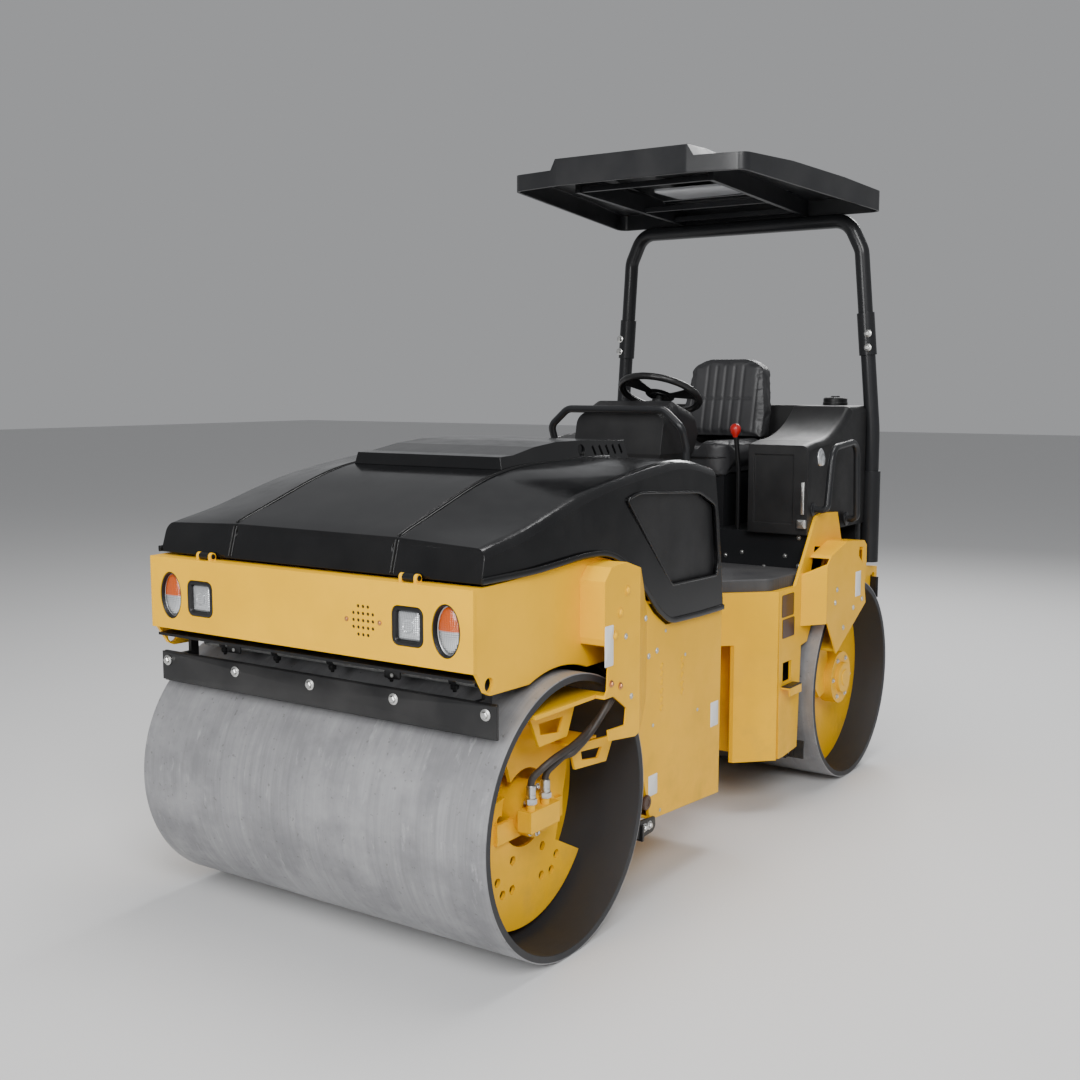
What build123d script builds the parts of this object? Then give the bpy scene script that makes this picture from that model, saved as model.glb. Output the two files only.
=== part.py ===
from build123d import *
from math import atan2, degrees, hypot, radians, sqrt, tan
import os

# Tandem road roller, in millimetres.
# X points forward, Y to the driver's left, Z up.
# The origin is on the ground under the articulation pin, midway between the drums.

# Drums
drum_width = 1300.0
drum_radius = 400.0
drum_wall = 22.0
wheelbase = 2100.0
web_thick = 14.0
plate_web_inset = 250.0
hub_web_inset = 130.0
spindle_radius = 45.0

# Frames
side_inset = 45.0
side_plate = 12.0
pan_sheet = 8.0
arch_gap = 18.0
pan_gap = 38.0
beam_reach = 385.0
beam_sheet = 12.0
beam_depth = 60.0
front_beam_low = 65.0
front_beam_high = 279.0
rear_beam_low = -70.0
rear_beam_high = 15.0
tie_hole_radius = 19.0

# Drum carriers
arm_reach = 38.0
arm_sheet = 6.0
carrier_sheet = 12.0
carrier_inset = 156.0
carrier_radius = 349.0
motor_opening = 112.0
motor_radius = 78.0

# Articulation
pin_radius = 25.0
eye_radius = 44.0
link_half = 75.0
link_low = 350.0
link_high = 500.0
rear_wall_x = 50.0
trunnion_radius = 50.0
running_fit = 0.05
face_gap = 1.0
fork_thick = 40.0

# Hood
hood_wall = 8.0
hood_gap = 10.0
hinge_pin = 7.0
hinge_eye = 11.0
hinge_ahead = 18.0

# Operator's platform
floor_low = 834.0
floor_thick = 46.0
riser_x = -725.0
console_front = -690.0
console_inner = 345.0
tank_front = -1290.0
tank_back = -1425.0
tank_top = 1500.0
seat_width = 420.0
seat_top = 1355.0
cushion_thick = 130.0
seat_box = 210.0
back_height = 357.0
wheel_centre = (-600.0, 0.0, 1552.0)
wheel_radius = 157.0
wheel_tube = 13.0
wheel_tilt = 26.0
hub_depth = 32.0
stub_radius = 12.0

# Roll-over frame and canopy
post_x = -1330.0
sleeve_radius = 38.0
tube_radius = 30.0
sleeve_top = 1228.0
socket_depth = 80.0
splice_low = 1709.0
splice_high = 1882.0
portal_top = 2262.0
portal_half = 547.0
canopy_drop = 27.0
canopy_rim = 67.0
canopy_wall = 10.0
canopy_slope = 50.0
hump_half = 279.0
hump_rise = 38.0

# Steering cylinder
barrel_radius = 32.0
rod_radius = 16.0
cylinder_pin = 12.0

# Places worked out from the sizes above
axle_x = wheelbase / 2
axle_z = drum_radius
drum_top = 2 * drum_radius
drum_end = drum_width / 2
frame_half = drum_end - side_inset
plate_inner = frame_half - side_plate
arm_face = drum_end + arm_reach
plate_web_y = drum_end - plate_web_inset
hub_web_y = drum_end - hub_web_inset
carrier_face = drum_end - carrier_inset
post_y = frame_half + 1
bracket_y = plate_inner - 33
pan_radius = drum_radius + pan_gap
shelf_top = seat_top - cushion_thick - seat_box
canopy_low = portal_top + canopy_drop
beam_face = axle_x + beam_reach
beam_back = beam_face - beam_sheet
shell_inner = drum_radius - drum_wall
floor_top = floor_low + floor_thick
console_outer = plate_inner
hood_front = axle_x + 345
hinge_x = hood_front + hinge_ahead
hinge_z = drum_top + front_beam_high + hinge_eye + 1
link_middle = (link_low + link_high) / 2
cylinder_z = link_middle


def block(x, y, z):
    """Box between two corners, each axis given as a low and high pair."""
    size = (x[1] - x[0], y[1] - y[0], z[1] - z[0])
    return Pos((x[0] + x[1]) / 2, (y[0] + y[1]) / 2, (z[0] + z[1]) / 2) * Box(*size)


def bar_x(x, y, z, radius):
    return Pos((x[0] + x[1]) / 2, y, z) * Rot(0, 90, 0) * Cylinder(radius, x[1] - x[0])


def bar_y(x, y, z, radius):
    return Pos(x, (y[0] + y[1]) / 2, z) * Rot(90, 0, 0) * Cylinder(radius, y[1] - y[0])


def bar_z(x, y, z, radius):
    return Pos(x, y, (z[0] + z[1]) / 2) * Cylinder(radius, z[1] - z[0])


def side_sheet(points, y):
    """Outline in X and Z carried from one Y to the other."""
    face = make_face(Polyline([(px, y[0], pz) for px, pz in points], close=True))
    return extrude(face, amount=y[1] - y[0], dir=(0, 1, 0))


def cross_sheet(points, x):
    """Outline in Y and Z carried from one X to the other."""
    face = make_face(Polyline([(x[0], py, pz) for py, pz in points], close=True))
    return extrude(face, amount=x[1] - x[0], dir=(1, 0, 0))


def flat_sheet(points, z):
    """Outline in X and Y carried from one Z to the other."""
    face = make_face(Polyline([(px, py, z[0]) for px, py in points], close=True))
    return extrude(face, amount=z[1] - z[0], dir=(0, 0, 1))


def tube(points, radii, radius):
    """Round bar along straight runs joined by arcs."""
    path = FilletPolyline(*points, radius=radii) if radii else Polyline(*points)
    start = Vector(*points[0])
    ahead = Vector(*points[1]) - start
    return sweep(Plane(origin=start, z_dir=ahead) * Circle(radius), path=path)


def easy_radii(points):
    """Largest arc that the shorter run beside each corner leaves room for."""
    spots = [Vector(*point) for point in points]
    radii = []
    for before, corner, after in zip(spots, spots[1:], spots[2:]):
        arriving = corner - before
        leaving = after - corner
        half_angle = radians(arriving.get_angle(leaving)) / 2
        radii.append(0.45 * min(arriving.length, leaving.length) / tan(half_angle))
    return radii


def other_side(shape):
    return mirror(shape, Plane.XZ)


def half_turn(shape):
    return Rot(0, 0, 180) * shape


def pair(shape):
    return [shape, other_side(shape)]


def joined(shapes):
    whole = shapes[0]
    for shape in shapes[1:]:
        whole = whole + shape
    return whole


# Drums, one a half turn of the other: plate side at +Y on the front drum

def drum_shell():
    outer = bar_y(axle_x, (-drum_end, drum_end), axle_z, drum_radius)
    inner = bar_y(axle_x, (-drum_end - 1, drum_end + 1), axle_z, shell_inner)
    return outer - inner


def drum_webs():
    plate_web = bar_y(axle_x, (plate_web_y - web_thick, plate_web_y), axle_z, shell_inner)
    hub_web = bar_y(axle_x, (-hub_web_y, -hub_web_y + web_thick), axle_z, shell_inner)
    tie = bar_y(axle_x, (-hub_web_y + web_thick, plate_web_y - web_thick), axle_z, 110)
    drive_boss = bar_y(axle_x, (plate_web_y, plate_web_y + 20), axle_z, 95)
    drive_spindle = bar_y(axle_x, (plate_web_y + 20, plate_web_y + 80), axle_z, spindle_radius)
    hub_boss = bar_y(axle_x, (-hub_web_y - 15, -hub_web_y), axle_z, 95)
    hub_spindle = bar_y(axle_x, (-hub_web_y - 70, -hub_web_y - 15), axle_z, spindle_radius)
    return joined([plate_web, tie, hub_web, drive_boss, drive_spindle, hub_boss, hub_spindle])


# Front frame

def arch_cut(gap, low=-1000, high=1000):
    return bar_y(axle_x, (low, high), axle_z, drum_radius + gap)


def front_side_points():
    return [
        (beam_back, drum_top + front_beam_high),
        (axle_x + 103, drum_top + 288),
        (axle_x - 94, drum_top + 299),
        (axle_x - 200, drum_top + 301),
        (axle_x - 270, drum_top + 286),
        (axle_x - 346, drum_top + 251),
        (axle_x - 437, drum_top + 180),
        (axle_x - 530, drum_top + 92),
        (axle_x - 609, drum_top + 43),
        (axle_x - 822, drum_top + 37),
        (rear_wall_x, drum_top + 32),
        (rear_wall_x + 5, axle_z - 196),
        (axle_x - 524, axle_z - 163),
        (axle_x - 457, axle_z + 45),
        (axle_x - 300, drum_top - 10),
        (axle_x + 140, drum_top - 6),
        (axle_x + 315, drum_top - 2),
        (axle_x + 335, drum_top + 8),
        (beam_back, drum_top + front_beam_low),
    ]


def front_sides():
    side = side_sheet(front_side_points(), (plate_inner, frame_half))
    side -= arch_cut(arch_gap)
    side -= bar_y(axle_x + 319, (plate_inner - 1, frame_half + 1), drum_top + 27, tie_hole_radius)
    return pair(side)


def front_pans():
    """Arch over the drum, engine deck, belly and rear wall, with the housing for the link's trunnion."""
    width = (-plate_inner, plate_inner)
    ring = bar_y(axle_x, width, axle_z, pan_radius + pan_sheet)
    ring -= bar_y(axle_x, (-700, 700), axle_z, pan_radius)
    rear_quarter = block((0, axle_x), (-700, 700), (axle_z - 120, drum_top + 200))
    arch = ring & rear_quarter
    deck_z = (axle_z + pan_radius, axle_z + pan_radius + pan_sheet)
    deck = block((axle_x, beam_back), width, deck_z)
    low_x = axle_x - sqrt(pan_radius ** 2 - 120 ** 2)
    floor_points = [
        (low_x, axle_z - 120),
        (axle_x - 524, axle_z - 163),
        (rear_wall_x + side_plate, axle_z - 196),
        (rear_wall_x + side_plate, axle_z - 188),
        (axle_x - 530, axle_z - 155),
        (low_x - pan_sheet, axle_z - 116),
    ]
    belly = side_sheet(floor_points, width)
    wall = block((rear_wall_x, rear_wall_x + side_plate), width, (axle_z - 196, drum_top + 32))
    housing = bar_x((rear_wall_x, rear_wall_x + 140), 0, link_middle, trunnion_radius + 40)
    rails = [block((x, x + 50), width, (axle_z + 90, engine_low)) for x in (200, 540)]
    frame = joined([arch, deck, belly, wall, housing] + rails)
    return frame - bar_x((0, rear_wall_x + 110), 0, link_middle, trunnion_radius + running_fit)


def lamp_oval(x, y, z, grow=0.0):
    """Upright oval, wider than a slot, as the lamps at the beam's ends."""
    face = Plane(origin=(x[0], y, z), x_dir=(0, 1, 0), z_dir=(1, 0, 0)) * Ellipse(46 + grow, 70 + grow)
    return extrude(face, amount=x[1] - x[0])


def lamp_square(x, y, z, grow=0.0):
    side = 106 + 2 * grow
    face = Plane(origin=(x[0], y, z), x_dir=(0, 1, 0), z_dir=(1, 0, 0)) * RectangleRounded(side, side, 22)
    return extrude(face, amount=x[1] - x[0])


engine_low = axle_z + 130
port_places = (90.0, 20.0)
port_y = carrier_face + 82
step_y = (drum_end - 54, drum_end - 46)
port_z = axle_z + 30
port_length = 50.0
hose_radius = 10.0
lamp_z = drum_top + 166
oval_y = frame_half - 87
square_y = frame_half - 213
grid_y = 240.0


def channel(low, high, half):
    """Cross beam bent from sheet: a face with two flanges turned back."""
    face = block((beam_back, beam_face), (-half, half), (low, high))
    top = block((beam_face - beam_depth, beam_back), (-plate_inner, plate_inner), (high - 10, high))
    bottom = block((beam_face - beam_depth, beam_back), (-plate_inner, plate_inner), (low, low + 10))
    return joined([face, top, bottom])


def front_beam():
    beam = channel(drum_top + front_beam_low, drum_top + front_beam_high, frame_half)
    cut = (beam_back - 1, beam_face + 1)
    for side in (-1, 1):
        beam -= lamp_oval(cut, side * oval_y, lamp_z)
        beam -= lamp_square(cut, side * square_y, lamp_z)
    for row, count in enumerate((3, 5, 5, 5, 3)):
        for place in range(count):
            y = grid_y + (place - (count - 1) / 2) * 17
            beam -= bar_x(cut, y, lamp_z + (2 - row) * 19, 4.5)
    return joined([beam] + hinge_lugs())


def hinge_lugs():
    lugs = []
    low = drum_top + front_beam_high
    for y in (-410, -360, 360, 410):
        foot = block((hinge_x - hinge_eye, hinge_x + hinge_eye), (y - 5, y + 5), (low, hinge_z))
        eye = bar_y(hinge_x, (y - 5, y + 5), hinge_z, hinge_eye)
        lug = foot + eye
        lug -= bar_y(hinge_x, (y - 6, y + 6), hinge_z, hinge_pin + running_fit)
        lugs.append(lug)
    return lugs


def lamps(squares):
    solids = []
    for side in (-1, 1):
        oval = lamp_oval((beam_back - 30, beam_face - 4), side * oval_y, lamp_z, -0.5)
        rim = lamp_oval((beam_back - 34, beam_back), side * oval_y, lamp_z, 8)
        solids.append(rim + oval)
        if squares:
            lens = lamp_square((beam_back - 20, beam_face - 6), side * square_y, lamp_z, -0.5)
            rim = lamp_square((beam_back - 34, beam_back), side * square_y, lamp_z, 8)
            solids.append(rim + lens)
    return solids


def engine():
    return block((150, 600), (-260, 260), (engine_low, engine_low + 470))


# Drum carrier with a plate and motor, at the front drum's left end

def arm_plate_side():
    plan = [
        (axle_x - 109, frame_half),
        (axle_x - 109, arm_face),
        (axle_x - 305, arm_face),
        (axle_x - 490, frame_half),
    ]
    outline = [
        (axle_x - 109, drum_top + 245),
        (axle_x - 109, drum_top + 83),
        (axle_x - 130, drum_top + 9),
        (axle_x - 125, axle_z + 338),
        (axle_x - 108, axle_z + 314),
        (axle_x - 158, axle_z + 314),
        (axle_x - 231, axle_z + 266),
        (axle_x - 224, axle_z + 218),
        (axle_x - 131, axle_z + 222),
        (axle_x - 135, axle_z + 190),
        (axle_x - 281, axle_z + 172),
        (axle_x - 493, axle_z + 236),
        (axle_x - 486, drum_top + 99),
        (axle_x - 405, drum_top + 185),
        (axle_x - 315, drum_top + 261),
        (axle_x - 229, drum_top + 288),
        (axle_x - 145, drum_top + 282),
    ]
    outer = flat_sheet(plan, (400, 1200)) & side_sheet(outline, (500, 800))
    inner_plan = [
        (axle_x - 109 - arm_sheet, frame_half - 1),
        (axle_x - 109 - arm_sheet, arm_face - arm_sheet),
        (axle_x - 305 + 3, arm_face - arm_sheet),
        (axle_x - 490 + 20, frame_half - 1),
    ]
    inner = flat_sheet(inner_plan, (300, drum_top + 230))
    arm = outer - inner
    return arm - arch_cut(12, 500, drum_end + 7)


def carrier_window(points, y):
    return side_sheet([(axle_x + u, axle_z + w) for u, w in points], y)


def plate_carrier():
    """Fixed plate inside the drum's end, with a shelf and two windowed steps."""
    y = (carrier_face - carrier_sheet, carrier_face)
    disc = bar_y(axle_x, y, axle_z, carrier_radius)
    lower = [(-300, -215), (-156, -140), (-112, 20), (60, 60), (152, 45), (360, 70), (360, -400), (-300, -400)]
    segment = disc & carrier_window(lower, y)
    neck = carrier_window([(-215, 312), (-215, 60), (-156, -140), (0, -60), (60, 60), (150, 312)], y)
    plate = (segment + neck) & bar_y(axle_x, y, axle_z, shell_inner - 6)
    plate -= bar_y(axle_x, (y[0] - 1, y[1] + 1), axle_z, motor_opening)
    holes = [(122, -7), (61, -139), (-87, -139), (134, -181), (110, -224), (64, -223), (-82, -226), (-133, -225), (-159, -185)]
    for u, w in holes:
        plate -= bar_y(axle_x + u, (y[0] - 1, y[1] + 1), axle_z + w, 13)
    shelf = block((axle_x - 150, axle_x + 182), (y[0], drum_end + 5), (axle_z + 312, axle_z + 324))
    foot = block((axle_x - 150, axle_x - 109 - arm_sheet), (drum_end + 5, arm_face - arm_sheet), (axle_z + 312, axle_z + 324))
    step = carrier_window([(142, 312), (-95, 312), (-48, 211), (90, 211)], step_y)
    opening_y = (step_y[0] - 1, step_y[1] + 1)
    step -= carrier_window([(93, 277), (-27, 272), (-7, 232), (84, 244)], opening_y)
    bracket = carrier_window([(-60, 180), (-300, 160), (-258, 90), (-90, 105)], step_y)
    bracket -= carrier_window([(-120, 150), (-234, 139), (-212, 111), (-126, 124)], opening_y)
    web = carrier_window([(-215, 176), (-90, 176), (-90, 168), (-215, 168)], (y[1], step_y[0]))
    return joined([plate, shelf, foot, step, web, bracket])


def motor():
    """Wheel motor seen in the plate's opening, with a manifold and two ports that point up."""
    back = plate_web_y + 22
    body = bar_y(axle_x, (back, carrier_face + 40), axle_z, motor_radius)
    nose = bar_y(axle_x, (carrier_face + 40, carrier_face + 66), axle_z, 56)
    bar = block((axle_x - 175, axle_x + 150), (carrier_face, carrier_face + 12), (axle_z - 70, axle_z - 10))
    manifold = block((axle_x - 30, axle_x + 112), (carrier_face + 52, port_y + 16), (axle_z - 30, port_z))
    ports = [bar_z(axle_x + u, port_y, (port_z, port_z + port_length), 12) for u in port_places]
    body = joined([body, nose, bar, manifold] + ports)
    return body - bar_y(axle_x, (back - 1, plate_web_y + 82), axle_z, spindle_radius + running_fit)


# Drum carrier with a hub, at the rear drum's left end

def arm_hub_side():
    plan = [
        (-axle_x + 430, frame_half),
        (-axle_x + 380, arm_face),
        (-axle_x - 35, arm_face),
        (-axle_x - 35, frame_half),
    ]
    outline = [
        (-axle_x + 450, axle_z + 272),
        (-axle_x + 367, axle_z + 287),
        (-axle_x + 271, axle_z + 152),
        (-axle_x - 35, axle_z + 313),
        (-axle_x - 19, drum_top - 22),
        (-axle_x - 32, drum_top + 78),
        (-axle_x - 30, drum_top + 148),
        (-axle_x - 3, drum_top + 168),
        (-axle_x + 184, drum_top + 181),
        (-axle_x + 337, drum_top + 141),
        (-axle_x + 409, drum_top + 83),
        (-axle_x + 482, drum_top + 35),
    ]
    outer = flat_sheet(plan, (400, 1200)) & side_sheet(outline, (500, 800))
    inner_plan = [
        (-axle_x + 420, frame_half - 1),
        (-axle_x + 372, arm_face - arm_sheet),
        (-axle_x - 27, arm_face - arm_sheet),
        (-axle_x - 27, frame_half - 1),
    ]
    arm = outer - flat_sheet(inner_plan, (300, drum_top + 130))
    slot = side_sheet([(-axle_x + 50, drum_top + 146), (-axle_x + 6, drum_top + 144),
                       (-axle_x + 11, drum_top + 80), (-axle_x + 55, drum_top + 112)], (600, 700))
    arm -= slot
    clear = bar_y(-axle_x, (500, drum_end + 7), axle_z, drum_radius + 12)
    return arm - clear


def hub_carrier():
    """Fixed ring over the drum's stub spindle, hung from the arm by a cranked plate."""
    y = (hub_web_y + 25, hub_web_y + 85)
    ring = bar_y(-axle_x, y, axle_z, 105)
    cap = bar_y(-axle_x, (y[1], y[1] + 12), axle_z, 62)
    x = -axle_x
    hanger = side_sheet([(x + 40, axle_z - 40), (x + 60, axle_z + 60), (x + 123, axle_z + 236),
                         (x + 264, axle_z + 162), (x + 230, axle_z + 20), (x + 150, axle_z - 60)],
                        (y[0] + 10, y[0] + 30))
    hook = side_sheet([(x + 262, axle_z + 157), (x + 120, axle_z + 232), (x + 126, axle_z + 244),
                       (x + 268, axle_z + 169)], (y[0] + 10, arm_face - arm_sheet))
    carrier = joined([ring, cap, hanger, hook])
    return carrier - bar_y(-axle_x, (hub_web_y, hub_web_y + 75), axle_z, spindle_radius + running_fit)


# Hoses from the arm's opening to the motor's ports

def drive_hoses():
    """Two hoses, each from a port, up past the steps and out round the drum's rim to the side plate."""
    solids = []
    for place, shift in zip(port_places, (0, 24)):
        x = axle_x + shift
        route = [
            (axle_x + place, port_y, port_z + port_length),
            (axle_x + place, port_y, port_z + port_length + 38),
            (axle_x + place - 38, port_y + 36, port_z + port_length + 84),
            (x - 60, drum_end - 22, axle_z + 192 - shift),
            (x - 128, drum_end - 13, axle_z + 226 - shift),
            (x - 186, drum_end + 8, axle_z + 282 - shift / 2),
            (x - 236, drum_end + 18, axle_z + 342),
            (x - 270, drum_end + 6, axle_z + 392),
            (x - 290, frame_half + 29, axle_z + 424),
            (x - 290, frame_half, axle_z + 424),
        ]
        solids.append(tube(route, easy_radii(route), hose_radius))
    return solids


# Scrapers and spray bar

def front_scraper():
    x = axle_x + 313
    blade = side_sheet([(x, axle_z + 285), (x + 8, axle_z + 285), (x + 8, axle_z + 378), (x, axle_z + 378)],
                       (-drum_end + 20, drum_end - 20))
    places = (-bracket_y, bracket_y)
    deck_low = axle_z + pan_radius
    arms = [block((x - 60, x), (y - 6, y + 6), (drum_top - 45, drum_top - 22)) for y in places]
    posts = [block((x - 60, x - 30), (y - 6, y + 6), (drum_top - 45, deck_low)) for y in places]
    return joined([blade] + arms + posts)


def inner_scraper():
    """Blade behind the front drum, low on the frame's rear wall."""
    x = axle_x - 455
    blade = block((x - 4, x + 4), (-drum_end + 30, drum_end - 30), (axle_z - 210, axle_z - 160))
    low_x = axle_x - sqrt(pan_radius ** 2 - 120 ** 2)
    slope = (163 - 120) / (524 + low_x - axle_x)
    meeting = axle_z - 120 - slope * (low_x - x + 4)
    outline = [(axle_x - 524, axle_z - 185), (x - 4, axle_z - 185), (x - 4, meeting), (axle_x - 524, axle_z - 163)]
    feet = [side_sheet(outline, (y - 6, y + 6)) for y in (-bracket_y, bracket_y)]
    return joined([blade] + feet)


def rear_inner_scraper():
    """Blade in front of the rear drum, with a bolted bracket at each end."""
    low_x = -axle_x + sqrt(pan_radius ** 2 - 120 ** 2)
    x = low_x - 12
    blade = block((x - 8, x), (-drum_end + 30, drum_end - 30), (axle_z - 245, axle_z - 175))
    outline = [(x, axle_z - 240), (low_x + 28, axle_z - 240), (low_x + 30, axle_z - 200), (low_x, axle_z - 120),
               (x, axle_z - 175)]
    feet = [side_sheet(outline, (y - 6, y + 6)) for y in (-bracket_y, bracket_y)]
    ends = [block((x, x + 14), (y - 22, y + 22), (axle_z - 240, axle_z - 176)) for y in (-bracket_y, bracket_y)]
    return joined([blade] + feet + ends)


def spray_bar():
    x = axle_x + 250
    z = drum_top + 8
    pipe = bar_y(x, (-520, 520), z, 12)
    nozzles = [bar_z(x, y, (z - 22, z), 9) for y in (-440, -220, 0, 220, 440)]
    brackets = [block((x - 20, x + 20), (y - 25, y + 25), (z + 6, axle_z + pan_radius)) for y in (-375, 244)]
    return joined([pipe] + nozzles + brackets)


# Articulation

def pivot_link():
    body = block((-link_half, link_half - 30), (-60, 60), (link_low, link_high))
    meeting = rear_wall_x - face_gap
    flange = bar_x((link_half - 30, meeting), 0, link_middle, trunnion_radius + 25)
    trunnion = bar_x((meeting, rear_wall_x + 108), 0, link_middle, trunnion_radius)
    x, y = cylinder_eye
    lever = block((x - 28, x + 28), (y, -60), (cylinder_z + 22, cylinder_z + 44))
    lever += bar_z(x, y, (cylinder_z + 22, cylinder_z + 44), 28)
    link = joined([body, flange, trunnion, lever])
    return link - bar_z(0, 0, (link_low - 1, link_high + 1), pin_radius + running_fit)


def pivot_pin():
    pin = bar_z(0, 0, (link_low - fork_thick - 15, link_high + fork_thick + 15), pin_radius)
    head = bar_z(0, 0, (link_high + fork_thick + 1, link_high + fork_thick + 15), pin_radius + 14)
    return pin + head


cylinder_base = (-385.0, -160.0)
cylinder_eye = (0.0, -150.0)


def along_cylinder(shape):
    angle = degrees(atan2(cylinder_eye[1] - cylinder_base[1], cylinder_eye[0] - cylinder_base[0]))
    return Pos(cylinder_base[0], cylinder_base[1], cylinder_z) * Rot(0, 0, angle) * shape


cylinder_length = hypot(cylinder_eye[0] - cylinder_base[0], cylinder_eye[1] - cylinder_base[1])


def steer_barrel():
    body = bar_x((30, 268), 0, 0, barrel_radius)
    eye = bar_z(0, 0, (-20, 20), 30) + bar_x((0, 40), 0, 0, 20)
    barrel = body + (eye & block((-40, 60), (-40, 40), (-20, 20)))
    barrel -= bar_x((40, cylinder_length), 0, 0, rod_radius + running_fit)
    barrel -= bar_z(0, 0, (-40, 40), cylinder_pin + running_fit)
    return along_cylinder(barrel)


def steer_rod():
    rod = bar_x((118, cylinder_length - 20), 0, 0, rod_radius)
    eye = bar_z(cylinder_length, 0, (-18, 18), 28)
    rod = rod + eye
    rod -= bar_z(cylinder_length, 0, (-40, 40), 14)
    return along_cylinder(rod)


# Rear frame

def rear_side_points():
    return [
        (-421, floor_low),
        (-568, floor_low + 1),
        (-669, drum_top + 169),
        (-754, drum_top + 287),
        (-831, drum_top + 292),
        (-970, drum_top + 284),
        (-1019, drum_top + 165),
        (-1050, drum_top + 60),
        (-beam_back, drum_top + rear_beam_high),
        (-beam_back, drum_top + rear_beam_low),
        (-axle_x - 300, drum_top + rear_beam_low),
        (-axle_x - 300, axle_z + 300),
        (-axle_x + 420, axle_z + 200),
        (-axle_x + 440, axle_z - 190),
        (-axle_x + 560, axle_z - 200),
        (-440, axle_z - 200),
    ]


def rear_sides():
    """Side plates, each with a fin beside the seat, a slot in the fin, a step's opening and a tie-down hole."""
    through = (plate_inner - 1, frame_half + 1)
    side = side_sheet(rear_side_points(), (plate_inner, frame_half))
    side -= bar_y(-axle_x, through, axle_z, drum_radius + arch_gap)
    side -= side_sheet([(-743, 969), (-880, 953), (-827, 865), (-712, 880)], through)
    side -= bar_y(-axle_x - 340, through, drum_top - 25, tie_hole_radius)
    side -= block((-545, -465), through, (axle_z + 84, axle_z + 160))
    side -= block((-axle_x - 326, -axle_x - 308), through, (axle_z + 250, drum_top - 16))
    side += block((-560, -455), (frame_half, frame_half + 36), (axle_z + 62, axle_z + 70))
    side += block((-560, -455), (frame_half + 30, frame_half + 36), (axle_z + 40, axle_z + 70))
    return pair(side)


def rear_skirts():
    """Front wall of the rear frame with its cut-off corners, open in the middle for the fork."""
    low = axle_z - 200
    inner = frame_half - 166
    plan = [(-421, frame_half), (-253, inner), (-253, 0), (-265, 0), (-265, inner - 5), (-421, plate_inner - 4.9)]
    skirt = flat_sheet(plan, (low, floor_low))
    skirt -= block((-300, -200), (-10, inner + 52), (low - 1, axle_z + 240))
    return pair(skirt)


def rear_pans():
    low = axle_z - 200
    width = (-plate_inner, plate_inner)
    inner = frame_half - 171
    wall = block((-442, -430), width, (low, floor_low))
    deck_plan = [(-265, -inner), (-265, inner), (-426, plate_inner), (-590, plate_inner), (-590, -plate_inner),
                 (-426, -plate_inner)]
    deck = flat_sheet(deck_plan, (floor_low - 10, floor_low))
    ring = bar_y(-axle_x, width, axle_z, pan_radius + pan_sheet)
    ring -= bar_y(-axle_x, (-700, 700), axle_z, pan_radius)
    arch = ring & block((-axle_x, 0), (-700, 700), (axle_z - 120, drum_top + 200))
    rear_deck = block((-beam_back, -axle_x), width, (axle_z + pan_radius, axle_z + pan_radius + pan_sheet))
    low_x = -axle_x + sqrt(pan_radius ** 2 - 120 ** 2)
    belly = side_sheet([(low_x, axle_z - 120), (low_x + 30, low), (-430, low), (-430, low + 8),
                        (low_x + 36, low + 8), (low_x + pan_sheet, axle_z - 116)], width)
    return joined([wall, deck, arch, rear_deck, belly])


def pivot_fork():
    """Two ears over and under the link, and the clevis that holds the steering cylinder's foot."""
    under = (link_low - fork_thick - face_gap, link_low - face_gap)
    over = (link_high + face_gap, link_high + face_gap + fork_thick)
    ears = []
    for z in (under, over):
        ear = flat_sheet([(-430, 200), (-430, -200), (0, -eye_radius), (0, eye_radius)], z)
        ear += bar_z(0, 0, z, eye_radius)
        ear -= bar_z(0, 0, (z[0] - 1, z[1] + 1), pin_radius)
        ears.append(ear)
    x, y = cylinder_base
    clevis = [block((-430, x + 25), (y - 25, y + 25), z)
              for z in ((cylinder_z + 21, cylinder_z + 35), (cylinder_z - 35, cylinder_z - 21))]
    pin = bar_z(x, y, (cylinder_z - 35, cylinder_z + 35), cylinder_pin)
    return ears + [joined(clevis + [pin])]


def rear_beam():
    return half_turn(channel(drum_top + rear_beam_low, drum_top + rear_beam_high, frame_half))


def rear_lamps():
    solids = []
    for side in (-1, 1):
        lamp = bar_x((-beam_face - 12, -beam_face), side * 500, drum_top - 28, 34)
        solids.append(lamp)
    return solids


# Platform

def floor_plan(inset=0.0):
    return [
        (-262, frame_half - 180 - inset),
        (-410, frame_half - 30 - inset),
        (-640, frame_half - 15 - inset),
        (riser_x, frame_half - 15 - inset),
        (riser_x, -frame_half + 15 + inset),
        (-640, -frame_half + 15 + inset),
        (-410, -frame_half + 30 + inset),
        (-262, -frame_half + 180 + inset),
    ]


def platform_floor():
    slab = flat_sheet(floor_plan(), (floor_low, floor_top))
    corners = [edge for edge in slab.edges().filter_by(Axis.Z) if edge.center().X > -500]
    slab = fillet(corners, 50)
    return chamfer(slab.faces().sort_by(Axis.Z)[-1].edges(), 5)


def seat_base():
    """Bolted riser panel with the box under the seat behind it."""
    riser = block((riser_x - 10, riser_x), (-console_outer + 10, console_outer - 10), (floor_low, shelf_top))
    base = block((-1200, -790), (-seat_width / 2 + 20, seat_width / 2 - 20), (shelf_top, seat_top - cushion_thick))
    shelf = block((tank_front, riser_x), (-console_inner + 5, console_inner - 5), (shelf_top - 10, shelf_top))
    return joined([riser, shelf, base])


def seat_cushion():
    """Cushion with a raised roll along each side and a rounded front."""
    half = seat_width / 2
    low = seat_top - cushion_thick + 0.3
    profile = [(-half, low), (-half, seat_top), (-half + 70, seat_top), (-half + 105, seat_top - 26),
               (half - 105, seat_top - 26), (half - 70, seat_top), (half, seat_top), (half, low)]
    pad = cross_sheet(profile, (-1180, -745))
    pad = fillet(pad.edges().filter_by(Axis.Z), 60)
    return pad


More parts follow.
